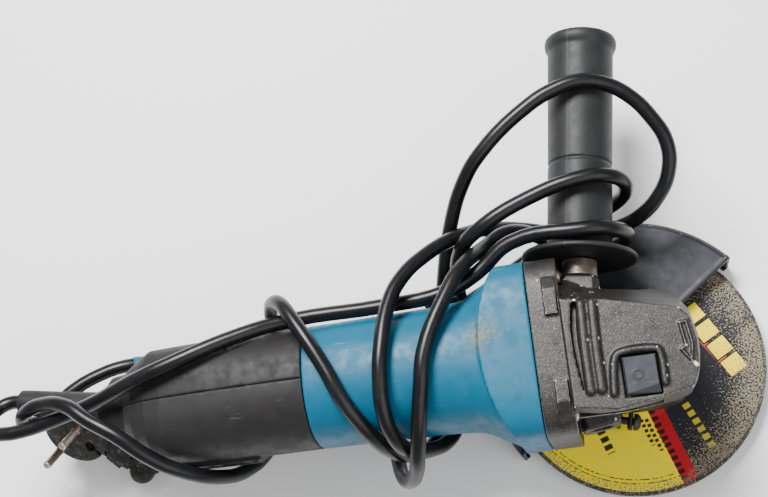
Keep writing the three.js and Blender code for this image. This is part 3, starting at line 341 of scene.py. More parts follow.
def turned_metal(name, color, roughness, stain=(0.1, 0.07, 0.05), stain_amount=0.35):
    """Machined metal with fine marks and a little rust or grease."""
    s = Surface(name, color, roughness, metallic=1)
    s.tint(s.math("MULTIPLY", s.above(s.noise(3, 5, 0.65), 0.5, 0.68), stain_amount), stain)
    s.gloss(s.above(s.noise(1.5, 3), 0.4, 0.65), min(1, roughness + 0.2))
    s.bump(s.noise(0.5, 3, stretch=(0.3, 0.3, 3)), 0.02)
    return s


def cord_rubber():
    s = Surface("cord_rubber", (0.004, 0.004, 0.0048), 0.3, shine=0.28)
    s.tint(s.math("MULTIPLY", s.above(s.noise(1.6, 5, 0.7), 0.62, 0.74), 0.5), (0.06, 0.058, 0.055))
    s.tint(s.math("MULTIPLY", s.above(s.noise(22, 3), 0.45, 0.7), 0.2), (0.025, 0.025, 0.028))
    s.gloss(s.above(s.noise(2.5, 4), 0.45, 0.7), 0.34)
    s.bump(s.noise(0.7, 3), 0.02)
    s.bump(s.noise(9, 2), 0.06)
    return s.material


def plug_rubber():
    s = Surface("plug_rubber", (0.016, 0.0155, 0.0145), 0.6, shine=0.25)
    s.tint(s.math("MULTIPLY", s.above(s.noise(3, 5, 0.7), 0.5, 0.68), 0.6), (0.13, 0.125, 0.115))
    s.tint(s.math("MULTIPLY", s.edges(0.52, 0.58), 0.5), (0.2, 0.19, 0.175))
    s.tint(s.above(s.noise(0.8, 3, 0.7), 0.68, 0.76), (0.3, 0.29, 0.27))
    s.gloss(s.above(s.noise(2, 4), 0.4, 0.7), 0.8)
    s.bump(s.noise(0.8, 4), 0.07)
    return s.material


# ------------------------------------------------------------------ cord

CORD_DIAMETER = 7.0

CORD_ROUTE = [
    (-295.4, 12.8, 0), (-301, 12.9, 0.3), (-305.9, 10.6, 2.2), (-308.6, 6.2, 6), (-308.2, 0.8, 10.4),
    (-303.6, -3.4, 14.2), (-295.6, -5.1, 15.7), (-286, -4.6, 15.6), (-277, -3, 15.6), (-251, 2.2, 20),
    (-225, 8.5, 29.6), (-210, 12.5, 31.6), (-172, 25.1, 23.2), (-150, 30, 16), (-108, 30.5, 15),
    (-78, 32.8, 15), (-63, 39.4, 14.6), (-46, 50.3, 18.2), (-14, 50.2, 22.8), (-4, 50, 20.5),
    (4, 50, 12), (6.3, 50, 1), (3, 50.6, -9), (-7, 52, -16.8), (-21, 54.5, -18.3), (-33, 60, -14),
    (-42, 62.5, -7), (-50, 60.5, 0), (-57.5, 54.6, 5), (-69, 40, 24.5), (-75.5, 29, 29.5),
    (-88, 3, 33.4), (-91, -11, 32), (-98, -38.5, 17.5), (-101.3, -45, 6), (-106, -47.5, -5),
    (-111, -45, -15), (-114.5, -37, -24), (-117, -26, -31), (-124, -11, -35), (-136, 3, -36),
    (-149, 16, -33.5), (-158, 27, -26), (-163, 33.5, -14), (-164.5, 35.5, -1), (-162, 38.4, 10),
    (-157.5, 38.6, 19.5), (-152, 34.6, 27), (-146.6, 26.6, 31.6), (-133, 2, 33.2), (-127, -12, 31.2),
    (-121, -23, 24.6), (-116, -30.4, 15), (-111, -34.6, 3), (-106.5, -35.4, -7), (-101, -33.8, -15),
    (-96, -28.5, -23), (-92, -20, -31), (-90.5, -8, -35.8), (-88.5, 18, -35.5), (-87, 29, -29),
    (-81.5, 48, -12.5), (-73, 71, 1), (-65, 84.5, 10), (-55, 95, 17), (-29, 113, 22.8),
    (-16, 118.5, 23.6), (-4, 120.5, 23), (7, 118.3, 20), (17, 111.5, 17), (25, 101, 14),
    (30.3, 88.5, 10.5), (29, 76, 5), (22.5, 67, -2), (14, 62, -9), (4, 60.5, -17), (-8, 60.3, -22.3),
    (-23, 62.8, -23.6), (-40, 67, -20), (-54, 67, -11), (-71, 60, 8), (-88, 48.5, 19), (-96, 40, 24),
    (-101.5, 30, 28), (-107, 6, 33.6), (-108.6, -7, 33.2), (-109, -18.5, 30.6), (-107.5, -29, 23.5),
    (-103.7, -35.2, 13), (-94, -33.9, -7.5), (-89.3, -30.2, -17.2), (-85.3, -22.6, -26.6),
    (-82.3, -10.5, -33.3), (-80.5, 3, -34.8), (-78, 15, -33.3), (-76.3, 26, -27.5), (-74.8, 41.5, -9),
    (-69, 52.7, 11.5), (-61, 57.5, 19), (-34, 69, 22.3), (-8, 74.2, 22.9), (1, 74.2, 20),
    (7.5, 73.6, 12.5), (9.2, 72.8, 3), (7, 71.5, -6), (-6, 69.3, -21), (-15, 68.3, -28.5),
    (-26, 64.5, -33.8), (-54, 49.5, -34.8), (-68, 42.5, -36.5), (-98, 34, -46), (-120, 31, -49.5),
    (-150, 30, -50), (-180, 30.5, -48.5), (-205, 31, -42.5), (-236, 29, -26), (-249, 28, -20),
    (-262, 24.5, -17), (-275, 18, -14.5), (-283.5, 11, -13), (-289, 4.4, -8.6), (-291.2, 1.2, -1.6),
    (-291, 0.8, 6), (-288, 2.8, 12.6), (-282.5, 4.4, 17.4), (-275, 5.4, 20.8), (-258, 1.5, 28.4),
    (-247, -6.5, 30), (-234, -15, 29), (-222, -25, 23), (-211.5, -31.6, 13.5), (-194, -34.9, -8.5),
    (-187, -31, -19.5), (-181.5, -24, -29), (-179, -14.5, -36.5), (-183, -5.5, -42.5), (-193, 0, -46),
    (-206, -1, -48), (-233, -10.5, -51), (-243.6, -15.5, -51.5),
]


def cord_curve(name, route, diameter):
    """A cord through the points of its route, as one smooth open spline."""
    data = bpy.data.curves.new(name, "CURVE")
    data.dimensions = "3D"
    data.bevel_depth = diameter / 2 * MM
    data.bevel_resolution = 5
    data.resolution_u = 5
    data.use_fill_caps = True
    spline = data.splines.new("BEZIER")
    spline.bezier_points.add(len(route) - 1)
    for knot, place in zip(spline.bezier_points, route):
        knot.co = at(*place)
        knot.handle_left_type = "AUTO"
        knot.handle_right_type = "AUTO"
    cord = bpy.data.objects.new(name, data)
    bpy.context.scene.collection.objects.link(cord)
    return cord


CORD_MATERIAL = cord_rubber()
power_cord = cord_curve("power_cord_sheath", CORD_ROUTE, CORD_DIAMETER)
power_cord.data.materials.append(CORD_MATERIAL)

# ------------------------------------------------------------------ drawing solids


def frame_of(origin, axis, side=None):
    """A frame with its Z along an axis, for drawing a turned or plug-like solid."""
    z = Vector(axis).normalized()
    x = Vector(side) if side else (Vector((0, 0, 1)) if abs(z.z) < 0.9 else Vector((1, 0, 0)))
    x = (x - z * x.dot(z)).normalized()
    turn = Matrix((x, z.cross(x), z)).transposed().to_4x4()
    turn.translation = Vector(origin)
    return turn


HANDLE_YAW = 0.144
SLEEVE_YAW = 0.2
SPINDLE = Matrix.Identity(4)
MOTOR = frame_of((0, 0, 0), (1, 0, 0))
HANDLE = frame_of((-22.5, 0, 3.6), (math.sin(HANDLE_YAW), math.cos(HANDLE_YAW), 0))
SLEEVE = frame_of((-246.3, 2.6, 0), (-math.cos(SLEEVE_YAW), math.sin(SLEEVE_YAW), 0))


def from_faces(points, faces):
    mesh = bpy.data.meshes.new("solid")
    mesh.from_pydata([tuple(p) for p in points], [], faces)
    work = bmesh.new()
    work.from_mesh(mesh)
    bmesh.ops.remove_doubles(work, verts=work.verts, dist=1e-4)
    bmesh.ops.recalc_face_normals(work, faces=work.faces)
    work.to_mesh(mesh)
    work.free()
    solid = bpy.data.objects.new("solid", mesh)
    bpy.context.scene.collection.objects.link(solid)
    return solid


def loft(rings, closed=False):
    """A solid through rings of equally many points, capped or joined end to end."""
    count = len(rings[0])
    faces = []
    for k in range(len(rings) if closed else len(rings) - 1):
        low, high = k * count, (k + 1) % len(rings) * count
        for i in range(count):
            j = (i + 1) % count
            faces.append((low + i, low + j, high + j, high + i))
    if not closed:
        faces.append(tuple(range(count)))
        faces.append(tuple(range(len(rings) * count - count, len(rings) * count)))
    return from_faces([p for ring in rings for p in ring], faces)


def turned(profile, frame=SPINDLE, sides=96):
    """A lathe solid: the profile is a list of heights and radii."""
    angles = [2 * math.pi * i / sides for i in range(sides)]
    rings = [
        [frame @ Vector((radius * math.cos(a), radius * math.sin(a), height)) for a in angles]
        for height, radius in profile
    ]
    on_axis = profile[0][1] == 0 and profile[-1][1] == 0
    if on_axis:
        rings = rings[1:-1]
    return loft(rings, closed=not on_axis)


def eased(profile, radius, steps=4):
    """A profile with its corners rounded."""
    out = [tuple(profile[0])]
    for before, corner, after in zip(profile, profile[1:], profile[2:]):
        a, b, c = Vector(before), Vector(corner), Vector(after)
        start = b + (a - b).normalized() * min(radius, (a - b).length * 0.45)
        end = b + (c - b).normalized() * min(radius, (c - b).length * 0.45)
        for i in range(steps + 1):
            t = i / steps
            point = start * (1 - t) ** 2 + b * 2 * t * (1 - t) + end * t**2
            out.append(tuple(point))
    out.append(tuple(profile[-1]))
    return out


def rod(low, high, radius):
    return [(low, 0), (low, radius), (high, radius), (high, 0)]


def tube(low, high, inner, outer):
    return [(low, inner), (low, outer), (high, outer), (high, inner)]


def hull(points, frame=SPINDLE):
    work = bmesh.new()
    for point in points:
        work.verts.new(frame @ Vector(point))
    made = bmesh.ops.convex_hull(work, input=work.verts)
    inside = [v for v in made["geom_interior"] if isinstance(v, bmesh.types.BMVert)]
    bmesh.ops.delete(work, geom=inside, context="VERTS")
    mesh = bpy.data.meshes.new("solid")
    bmesh.ops.recalc_face_normals(work, faces=work.faces)
    work.to_mesh(mesh)
    work.free()
    solid = bpy.data.objects.new("solid", mesh)
    bpy.context.scene.collection.objects.link(solid)
    return solid


def box(x0, x1, y0, y1, z0, z1, frame=SPINDLE):
    return hull([(x, y, z) for x in (x0, x1) for y in (y0, y1) for z in (z0, z1)], frame)


def curved(points, steps=4, closed=False):
    """Points along a smooth curve through the given ones."""
    points = [Vector(p) for p in points]
    last = len(points) - 1
    out = []
    for i in range(last + 1 if closed else last):
        if closed:
            a, b, c, d = (points[(i + k) % len(points)] for k in (-1, 0, 1, 2))
        else:
            a, b, c, d = (points[min(max(i + k, 0), last)] for k in (-1, 0, 1, 2))
        for k in range(steps):
            t = k / steps
            pull = (c - a) * t + (2 * a - 5 * b + 4 * c - d) * t**2 + (3 * b - a - 3 * c + d) * t**3
            out.append(b + pull / 2)
    return out if closed else out + [points[last]]


def section(x, half_width, half_height, squareness=2, shift=0, sides=144):
    """A ring across the motor's axis, from an ellipse to a rounded box."""

    def swell(value):
        return math.copysign(abs(value) ** (2 / squareness), value)

    angles = [2 * math.pi * (i + 0.5) / sides for i in range(sides)]
    return [
        Vector((x, shift + half_width * swell(math.cos(a)), half_height * swell(math.sin(a))))
        for a in angles
    ]


def skin(stations, steps=6):
    """A smooth loft through sections: each is x, half width, half height, squareness, shift."""
    return loft([section(*station) for station in curved(stations, steps)])


def settle(solid):
    """Replaces a solid's mesh by what its modifiers make of it."""
    graph = bpy.context.evaluated_depsgraph_get()
    mesh = bpy.data.meshes.new_from_object(solid.evaluated_get(graph))
    solid.modifiers.clear()
    solid.data = mesh
    return solid


def combine(operation, base, *tools):
    for tool in tools:
        step = base.modifiers.new("step", "BOOLEAN")
        step.operation = operation
        step.solver = "MANIFOLD"
        step.object = tool
        settle(base)
        bpy.data.objects.remove(tool)
    return base


def join(base, *others):
    return combine("UNION", base, *others)


def cut(base, *tools):
    return combine("DIFFERENCE", base, *tools)


def keep(base, *tools):
    return combine("INTERSECT", base, *tools)


def soften(solid, voxel=0.5, rounds=4):
    """Rounds every edge a little."""
    remesh = solid.modifiers.new("remesh", "REMESH")
    remesh.mode = "VOXEL"
    remesh.voxel_size = voxel
    smooth = solid.modifiers.new("smooth", "SMOOTH")
    smooth.factor = 0.5
    smooth.iterations = rounds
    return settle(solid)


def piece(solid, name, material, body, *nodes, sharp=50):
    """Puts a drawn solid in the model's frame, in place of its CAD nodes."""
    solid.name = name
    solid.data.transform(Matrix.Translation(ORIGIN) @ Matrix.Scale(MM, 4))
    solid.data.materials.clear()
    solid.data.materials.append(material)
    solid.data.shade_smooth()
    solid.data.set_sharp_from_angle(angle=math.radians(sharp))
    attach(solid, body)
    if nodes:
        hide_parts(*nodes)
    return solid


CORNERS = [(1, 1), (1, -1), (-1, 1), (-1, -1)]
FRONT, REAR = -41, -145


# ------------------------------------------------------------------ motor housing

HEAD_SCREW_Y, HEAD_SCREW_Z = 30.5, 23
COLLAR = (40.3, 33.3, 5)
BARREL = [
    (REAR, 28.4, 28.4, 2.2, 0), (-110, 28.8, 28.8, 2.2, 0), (-78, 29.4, 29, 2.3, 0),
    (-68, 31, 29.6, 2.6, 0), (-60, 35, 30.6, 3.4, 0), (-52, 38.6, 31.6, 4.4, 0),
    (FRONT, 39.4, 32.4, 5, 0),
]


def motor_housing():
    curve_radius, collar_rear = 76, -64.5
    collar = loft([section(x, *COLLAR) for x in (-75, FRONT)])
    curve_centre = frame_of((collar_rear + curve_radius, 0, 0), (0, 0, 1))
    keep(collar, turned(rod(-50, 50, curve_radius), curve_centre, 256))
    shell = join(skin(BARREL), collar, turned(rod(-175, REAR + 3, 24.4), MOTOR))
    bores = [
        (-164, -62, 22.3), (-142, -62, 26.4), (-62.1, FRONT + 1, 29), (-173.2, -150, 9.8), (-180, -150, 7.5),
    ]
    cut(shell, *[turned(rod(*bore), MOTOR) for bore in bores])
    cut(shell, box(-176, -141, 23.1, 26.4, -3, 3), box(-176, -172.9, 8.8, 26.4, -3, 3))
    cut(shell, box(-88, -72, 25, 44, -3.2, 3.2))
    cut(shell, *[box(-160, -148, *sorted((side * 10, side * 30)), -5.6, 5.6) for side in (-1, 1)])
    for side_y, side_z in CORNERS:
        hole = frame_of((0, side_y * HEAD_SCREW_Y, side_z * HEAD_SCREW_Z), (1, 0, 0))
        cut(shell, turned(rod(-56, FRONT + 1, 1.9), hole, 24))
    return soften(shell, 0.55, 4)


def housing_blue():
    s = moulded("housing_blue", (0.0, 0.092, 0.165), 0.38, dirt=(0.004, 0.05, 0.085), dirt_amount=0.22,
                scuffs=(0.12, 0.26, 0.33))
    drips = s.above(s.noise(3, 5, 0.6, stretch=(0.35, 1, 1)), 0.62, 0.7)
    s.tint(s.math("MULTIPLY", drips, 0.16), (0.08, 0.2, 0.27))
    near = s.stain_at(at(-63, 8, 33), 12)
    s.tint(s.math("MULTIPLY", near, s.above(s.noise(2, 4), 0.4, 0.6)), (0.14, 0.13, 0.05))
    s.tint(s.math("MULTIPLY", s.stain_at(at(-50, -22, 33), 3), 0.7), (0.01, 0.06, 0.1))
    # Painted shade: the hollows, such as the concave neck behind the collar, are painted a darker blue.
    s.tint(s.math("MULTIPLY", s.hollows(0.42, 0.47), 0.6), (0.01, 0.05, 0.08))
    return s.material


# ------------------------------------------------------------------ gear head

TOP_OF_HEAD = 35
HEAD_BOTTOM = -27.7
PLATE = [
    (-27, 17), (-9, 14.5), (21.2, 6.8), (25.2, 2.4), (26.8, -8),
    (26, -20), (22.5, -27.3), (1, -31.6), (-8, -33), (-27, -30),
]
WAIST = [
    (-30, 27), (-9.3, 23.7), (7.4, 18.9), (23.8, 13.6), (26.6, 9.5), (28.8, -2), (28.4, -10),
    (25.4, -22), (21.8, -27.2), (16, -29.4), (6, -30.6), (-6, -32), (-30, -32),
]
WAIST_Z, BELL_TOP = 16, -6
BELL_HALF_WIDTH, COVER_HALF_WIDTH = 26, 25.6
CLAMP_CLEARANCE = -32.2
HANDLE_FOOT_X, HANDLE_Z = -22.5, 3.6
LEFT_BOSS_FACE, RIGHT_BOSS_FACE = 33.2, 36.4
LOCK_X, LOCK_Y = 2.1, -19.6
COVER_SCREW = 18.7


def ring_around(half_width, z, squareness=4):
    """A ring around the spindle, from a circle to a rounded square."""
    return [Vector((p.y, p.z, z)) for p in section(z, half_width, half_width, squareness)]


def head_body():
    waist = [(*p, WAIST_Z) for p in WAIST]
    upper = hull([(*p, TOP_OF_HEAD) for p in PLATE] + waist)
    lower = hull(waist + ring_around(BELL_HALF_WIDTH - 0.4, BELL_TOP))
    bell = loft([
        ring_around(BELL_HALF_WIDTH - 0.8, HEAD_BOTTOM),
        ring_around(BELL_HALF_WIDTH, HEAD_BOTTOM + 1.4),
        ring_around(BELL_HALF_WIDTH, BELL_TOP + 1),
    ])
    flange = loft([section(x, *COLLAR) for x in (FRONT + 0.3, -27)])
    throat = loft([section(-30, 34, 31, 3.4), section(-16, 27, 26.4, 3)])
    return join(upper, lower, bell, flange, throat)


def handle_boss(side, face):
    """A squared boss around the hole for the side handle; side is 1 on the left, -1 on the right."""
    sin, cos = math.sin(HANDLE_YAW), math.cos(HANDLE_YAW)

    def corners(half, chamfer, reach):
        inner = half - chamfer
        ends = [(half, inner), (inner, half), (half, -inner), (inner, -half)]
        return [
            (HANDLE_FOOT_X + sin * reach + cos * a, side * (cos * reach - sin * a), HANDLE_Z + z)
            for a, z in ends + [(-a, -z) for a, z in ends]
        ]

    return hull(corners(10.6, 3, 18) + corners(8.6, 2.6, face - 1) + corners(8, 2.6, face))


def bead(points, width, height, top=TOP_OF_HEAD, depth=4):
    """A raised round bar that follows points on the top of the head."""
    line = [Vector(p) for p in points]
    bars = []
    for a, b in zip(line, line[1:]):
        way = (b - a).normalized() * 0.05
        ends = [turned_knot(p, width, height, top, depth) for p in (a - way, b + way)]
        bars.append(hull([v for end in ends for v in end]))
    return join(*bars)


def turned_knot(point, width, height, top, depth):
    """The points of a domed pin that stands on the head."""
    out = []
    for share in (1, 0.8, 0.4):
        z = top + height * (1 - share**2 * 0.55)
        for i in range(12):
            a = 2 * math.pi * i / 12
            reach = width / 2 * share
            out.append((point.x + reach * math.cos(a), point.y + reach * math.sin(a), z))
    out += [(x, y, top - depth) for x, y, _ in out[:12]]
    return out


SURROUND = [(-9.9, -26), (-8.2, -13), (-4.4, -9.2), (8.3, -9.2), (11.2, -12.4), (11.3, -24)]
ARROW = [
    (20.8, 0), (23.4, 0.2), (24.6, -9.5), (23.4, -16.8), (19.8, -11.2), (22, -10.2), (20.8, 0),
]


def flange_pad(y0, y1, foot, foot_z):
    """A lug on the flange: flat on top, and sloping down to the side."""
    places = [(y0, 30), (y0, 35.8), (y1, 35.8), (foot, foot_z), (foot, foot_z - 3)]
    return hull([(x, y, z) for x in (-33.6, -28.4) for y, z in places])


def head_relief():
    ribs = [bead(curved([(x, 13.4), (x - 0.8, -5), (x - 0.9, -23.6)], 4), 4, 1.9) for x in (-18.4, -13.8)]
    surround = bead(curved(SURROUND, 3), 3, 1.8)
    arrow = bead(ARROW, 0.9, 0.9)
    pads = [flange_pad(11.2, 22.3, 28, 32.6), flange_pad(-17.4, -26.8, -33.4, 29.4)]
    return [*ribs, surround, arrow, *pads]


def gear_housing():
    head = join(head_body(), handle_boss(1, LEFT_BOSS_FACE), handle_boss(-1, RIGHT_BOSS_FACE))
    slot_line = curved([(-21.4, 13.6), (-22.6, 5), (-22.8, -6), (-21.2, -22)], 4)
    cut(head, bead(slot_line, 2.8, 0, top=TOP_OF_HEAD + 1, depth=5.4))
    join(head, *head_relief())
    cut(head, box(LOCK_X - 7.7, LOCK_X + 7.7, LOCK_Y - 9, LOCK_Y + 8.8, TOP_OF_HEAD - 4, 50))
    for side_y, side_z in CORNERS:
        seat = frame_of((0, side_y * HEAD_SCREW_Y, side_z * HEAD_SCREW_Z), (1, 0, 0))
        cut(head, turned(rod(-29.6, 10, 4.6), seat, 48), turned(rod(-42, 10, 2.3), seat, 24))
        hole = frame_of((side_y * COVER_SCREW, side_z * COVER_SCREW, 0), (0, 0, 1))
        cut(head, turned(rod(HEAD_BOTTOM - 1, -14, 1.7), hole, 24))
    lock = frame_of((LOCK_X, LOCK_Y, 0), (0, 0, 1))
    right = frame_of((HANDLE_FOOT_X, 0, HANDLE_Z), (math.sin(HANDLE_YAW), -math.cos(HANDLE_YAW), 0))
    chamber = [(-40, 0), (-40, 23), (-8, 23), (-3, 17.6), (15.6, 17.6), (19, 12), (19, 0)]
    cut(
        head,
        turned(rod(20, 40, 5.1), HANDLE, 48), turned(rod(21, 40, 5.1), right, 48),
        turned(chamber), turned(rod(15, 27.4, 8.3)),
        turned(rod(-10, 50, 2.8), lock, 32), turned(rod(25, 50, 4.6), lock, 32),
        turned(rod(-42, -20, 13.3), MOTOR), turned(rod(-30, -5, 11), MOTOR),
        turned([(-42, 0), (-42, 24), (-37, 22), (-35, 16), (-35, 0)], MOTOR),
        loft([ring_around(BELL_HALF_WIDTH + 0.6, z) for z in (-60, HEAD_BOTTOM)]),
        turned(rod(-60, CLAMP_CLEARANCE, 34)),
    )
    return soften(head, 0.42, 3)


def bearing_box():
    plate = loft([ring_around(COVER_HALF_WIDTH, z) for z in (-33, HEAD_BOTTOM - 0.3)])
    join(plate, turned(rod(-40.5, -32, 20.3)))
    cut(plate, turned(rod(-38.5, -20, 16.3)), turned(rod(-50, -30, 10.6)))
    for side_x, side_y in CORNERS:
        hole = frame_of((side_x * COVER_SCREW, side_y * COVER_SCREW, 0), (0, 0, 1))
        cut(plate, turned(rod(-40, -20, 2), hole, 24), turned(rod(-40, -30.6, 3.6), hole, 32))
    return soften(plate, 0.45, 2)


def cross_screw(frame, tip, seat, top, radius, shank):
    """A pan-head screw with a cross recess, drawn along its frame's Z."""
    dome = [(tip, 0), (tip, shank), (seat, shank), (seat, radius), ((seat + top) / 2, radius),
            (top - 0.1 * radius, radius * 0.7), (top, radius * 0.4), (top, 0)]
    screw = turned(eased(dome, 0.5), frame, 40)
    arm = radius * 0.55
    for x, y in ((arm, 0.4), (0.4, arm)):
        cut(screw, box(-x, x, -y, y, top - 1.3, top + 1, frame))
    return screw


def head_screws():
    for i, (side_y, side_z) in enumerate(CORNERS, 1):
        frame = frame_of((0, side_y * HEAD_SCREW_Y, side_z * HEAD_SCREW_Z), (1, 0, 0))
        name = f"head_screw_{i}"
        piece(cross_screw(frame, -54, -29.3, -25.8, 3.8, 1.5), name + "_turned", SCREW, "housing", name)
    for i, (side_x, side_y) in enumerate(CORNERS, 1):
        frame = frame_of((side_x * COVER_SCREW, side_y * COVER_SCREW, 0), (0, 0, -1))
        name = f"cover_screw_{i}"
        piece(cross_screw(frame, 16, 30.9, 32.8, 3.1, 1.3), name + "_turned", SCREW, "housing", name)


# ------------------------------------------------------------------ spindle, wheel and flanges

WHEEL_TOP = -48.3
WHEEL_THICKNESS = 6
WHEEL_RADIUS = 62.5


def spindle():
    profile = [
        (26.6, 0), (26.6, 3.4), (25.8, 4), (16, 4), (15.6, 5.2), (-14.8, 5.2), (-14.9, 7.4), (-26.6, 7.4),
        (-26.9, 5.7), (-37.5, 5.7), (-37.8, 9.6), (-40.6, 9.6), (-40.6, 6.6),
    ]
    pitch = 1.5
    turns = 8
    for i in range(turns):
        z = -41.6 - i * pitch
        profile += [(z, 6.6), (z - pitch / 2, 6.0)]
    profile += [(-54.6, 6.6), (-55.6, 5.6), (-55.6, 0)]
    return turned(profile)


def inner_flange():
    return turned(eased([
        (-45, 6.9), (-41, 6.9), (-41, 14), (-42.6, 19.5), (-45, 19.5), (-45, 11.4), (-47.5, 10.8),
        (-47.5, 6.9), (-45, 6.9),
    ], 0.4)[:-1])


def lock_nut():
    nut = turned(eased([
        (-52, 6.9), (-50.6, 6.9), (-50.6, 17.5), (-53.6, 17.5), (-55.6, 15.5), (-55.6, 6.9), (-52, 6.9),
    ], 0.5)[:-1])
    for i in range(4):
        angle = i * math.pi / 2 + 0.4
        place = (12.4 * math.cos(angle), 12.4 * math.sin(angle), 0)
        cut(nut, turned(rod(-60, -53.6, 2.4), frame_of(place, (0, 0, 1)), 32))
    return nut


def grinding_wheel():
    hub_top, hub_bottom = -45.3, -50.3
    bottom = WHEEL_TOP - WHEEL_THICKNESS
    return turned(eased([
        (-48, 11.7), (hub_top, 11.7), (hub_top, 21.5), (WHEEL_TOP, 27), (WHEEL_TOP, WHEEL_RADIUS),
        (bottom, WHEEL_RADIUS), (bottom, 29.5), (hub_bottom, 23), (hub_bottom, 11.7), (-48, 11.7),
    ], 0.6)[:-1], sides=192)


# ------------------------------------------------------------------ wheel guard

GUARD_TOP, GUARD_BOTTOM = -38.5, -58.5
GUARD_RADIUS = 69.5
GUARD_ANGLE = math.radians(126.5)
CLAMP_ANGLE = math.radians(-105)
CLAMP_Z = -37
GUARD_FACING = Matrix.Rotation(GUARD_ANGLE - math.pi / 2, 4, "Z")
CLAMP_FACING = Matrix.Rotation(CLAMP_ANGLE, 4, "Z")


def wheel_guard():
    outer, thick = GUARD_RADIUS, 1.8
    shell = turned(eased([
        (GUARD_TOP - 0.9, 20.7), (GUARD_TOP, 20.7), (GUARD_TOP, 33),
        (GUARD_TOP, outer - 2.4), (GUARD_TOP - 2.4, outer),
        (GUARD_BOTTOM, outer), (GUARD_BOTTOM, outer - 3.4), (GUARD_BOTTOM + 1.4, outer - 3.4),
        (GUARD_BOTTOM + 1.4, outer - thick), (GUARD_TOP - thick, outer - thick - 0.6),
        (GUARD_TOP - thick, 20.7),
        (GUARD_TOP - 0.9, 20.7),
    ], 0.7)[:-1], sides=220)
    half = box(-100, 100, 3, 103, -75, -15, GUARD_FACING)
    keep(shell, join(half, turned(rod(-60, -30, 24.4))))
    lip = box(-68.9, 68.9, 3, 5.2, GUARD_TOP - 2.6, GUARD_TOP + 0.1, GUARD_FACING)
    band = turned(tube(GUARD_TOP - 0.6, -33.5, 20.7, 22.6))
    tabs = box(20, 33, -3.8, 3.8, CLAMP_Z - 3.2, CLAMP_Z + 3.2, CLAMP_FACING)
    join(shell, lip, band, tabs)
    clamp_bore = CLAMP_FACING @ frame_of((29, 0, CLAMP_Z), (0, 1, 0))
    cut(
        shell,
        turned(rod(-10, 10, 2.4), clamp_bore, 32),
        box(19, 39, -1.5, 1.5, CLAMP_Z - 10, CLAMP_Z + 10, CLAMP_FACING),
        turned(rod(-60, -20, 20.7)),
    )
    return soften(shell, 0.45, 2)


def clamp_screw():
    frame = CLAMP_FACING @ frame_of((29, 0, CLAMP_Z), (0, 1, 0))
    return cross_screw(frame, -7.2, 4.2, 7.6, 4, 1.8)


def clamp_nut():
    frame = CLAMP_FACING @ frame_of((29, 0, CLAMP_Z), (0, 1, 0))
    nut = turned(tube(-7, -4.2, 2.1, 4), frame, 6)
    return soften(nut, 0.25, 2)


# ------------------------------------------------------------------ lock button


def lock_button():
    base = TOP_OF_HEAD - 0.4
    top = base + 2.4
    low = [(x, y, base) for x in (-7.2, 7.2) for y in (-8.4, 8.2)]
    high = [(-6.4, -7.6, top), (6.6, -5, top), (6.6, 7.4, top), (-6.4, 7.4, top), (6.8, -5.6, base + 1)]
    cap = hull([(LOCK_X + x, LOCK_Y + y, z) for x, y, z in low + high])
    ring = turned(tube(base + 2, base + 2.7, 1.5, 2.2), frame_of((LOCK_X - 1.4, LOCK_Y, 0), (0, 0, 1)), 40)
    join(cap, ring)
    cut(cap, turned(rod(base - 1, base + 1.6, 2.6), frame_of((LOCK_X, LOCK_Y, 0), (0, 0, 1)), 32))
    return soften(cap, 0.2, 3)


# ------------------------------------------------------------------ slide switch


def slide_knob():
    corners = [(-91, 28), (-74, 28)]
    knob = hull([
        *[(x, y, z) for x, y in corners for z in (-7, 6)],
        (-91, 30.4, -7), (-74, 31, -7), (-91, 30.4, 6), (-74, 31, 6),
        (-88.5, 34.2, -5.6), (-75.5, 35.4, -5.6), (-88.5, 34.2, 4.6), (-75.5, 35.4, 4.6),
    ])
    cut(knob, loft([section(-110, 29.4, 29.4, 2.25), section(-66, 32.8, 31.4, 2.6)]))
    cut(knob, *[box(-86 + 3.4 * i, -84.6 + 3.4 * i, 33.8, 40, -8, 8) for i in range(3)])
    join(knob, box(-86, -80, 24.9, 31.6, -2.6, 2.6))
    return soften(knob, 0.25, 2)


# ------------------------------------------------------------------ rear handle

HANDLE_OUTER = [
    (REAR - 0.3, 28.4, 28.4, 2.2, 0), (-165, 28.4, 28.2, 2.3, 0), (-195, 28.2, 27.4, 2.5, 0),
    (-214, 27.4, 26, 2.8, 0), (-222, 26, 24.6, 3, 1), (-230, 21.4, 21, 3, 1), (-235, 17, 17.6, 3, 2),
    (-236, 15.4, 15.4, 3, 3), (-251, 13.4, 12.6, 3, 3),
]
HANDLE_INNER = [
    (REAR + 1, 25.8, 25.8, 2.2, 0), (-165, 25.8, 25.6, 2.3, 0), (-195, 25.6, 24.8, 2.5, 0),
    (-214, 24.8, 23.4, 2.8, 0), (-222, 23.2, 21.8, 3, 1), (-230, 18.4, 18, 3, 1),
    (-234, 12.4, 12.4, 2.4, 2), (-243, 10.6, 10.4, 2.2, 3),
]
HANDLE_BOSSES = [(-181, -19.6), (-181, 19.6), (-221, -16.4)]


def across(x, z):
    return frame_of((x, 0, z), (0, 1, 0))


def louvre_panel():
    """A panel of long thin ledges, one above another."""
    plate = hull([
        (-217, -24, -12), (-171, -26, -12), (-217, -24, 2), (-171, -26, 2),
        (-213, -29, -10), (-176, -29.6, -10), (-213, -28.8, 0), (-176, -29.4, 0),
    ])
    ledges = [box(-214, -175, -30.2, -26, z, z + 1.1) for z in (-10.4, -0.6)]
    return join(plate, *ledges)


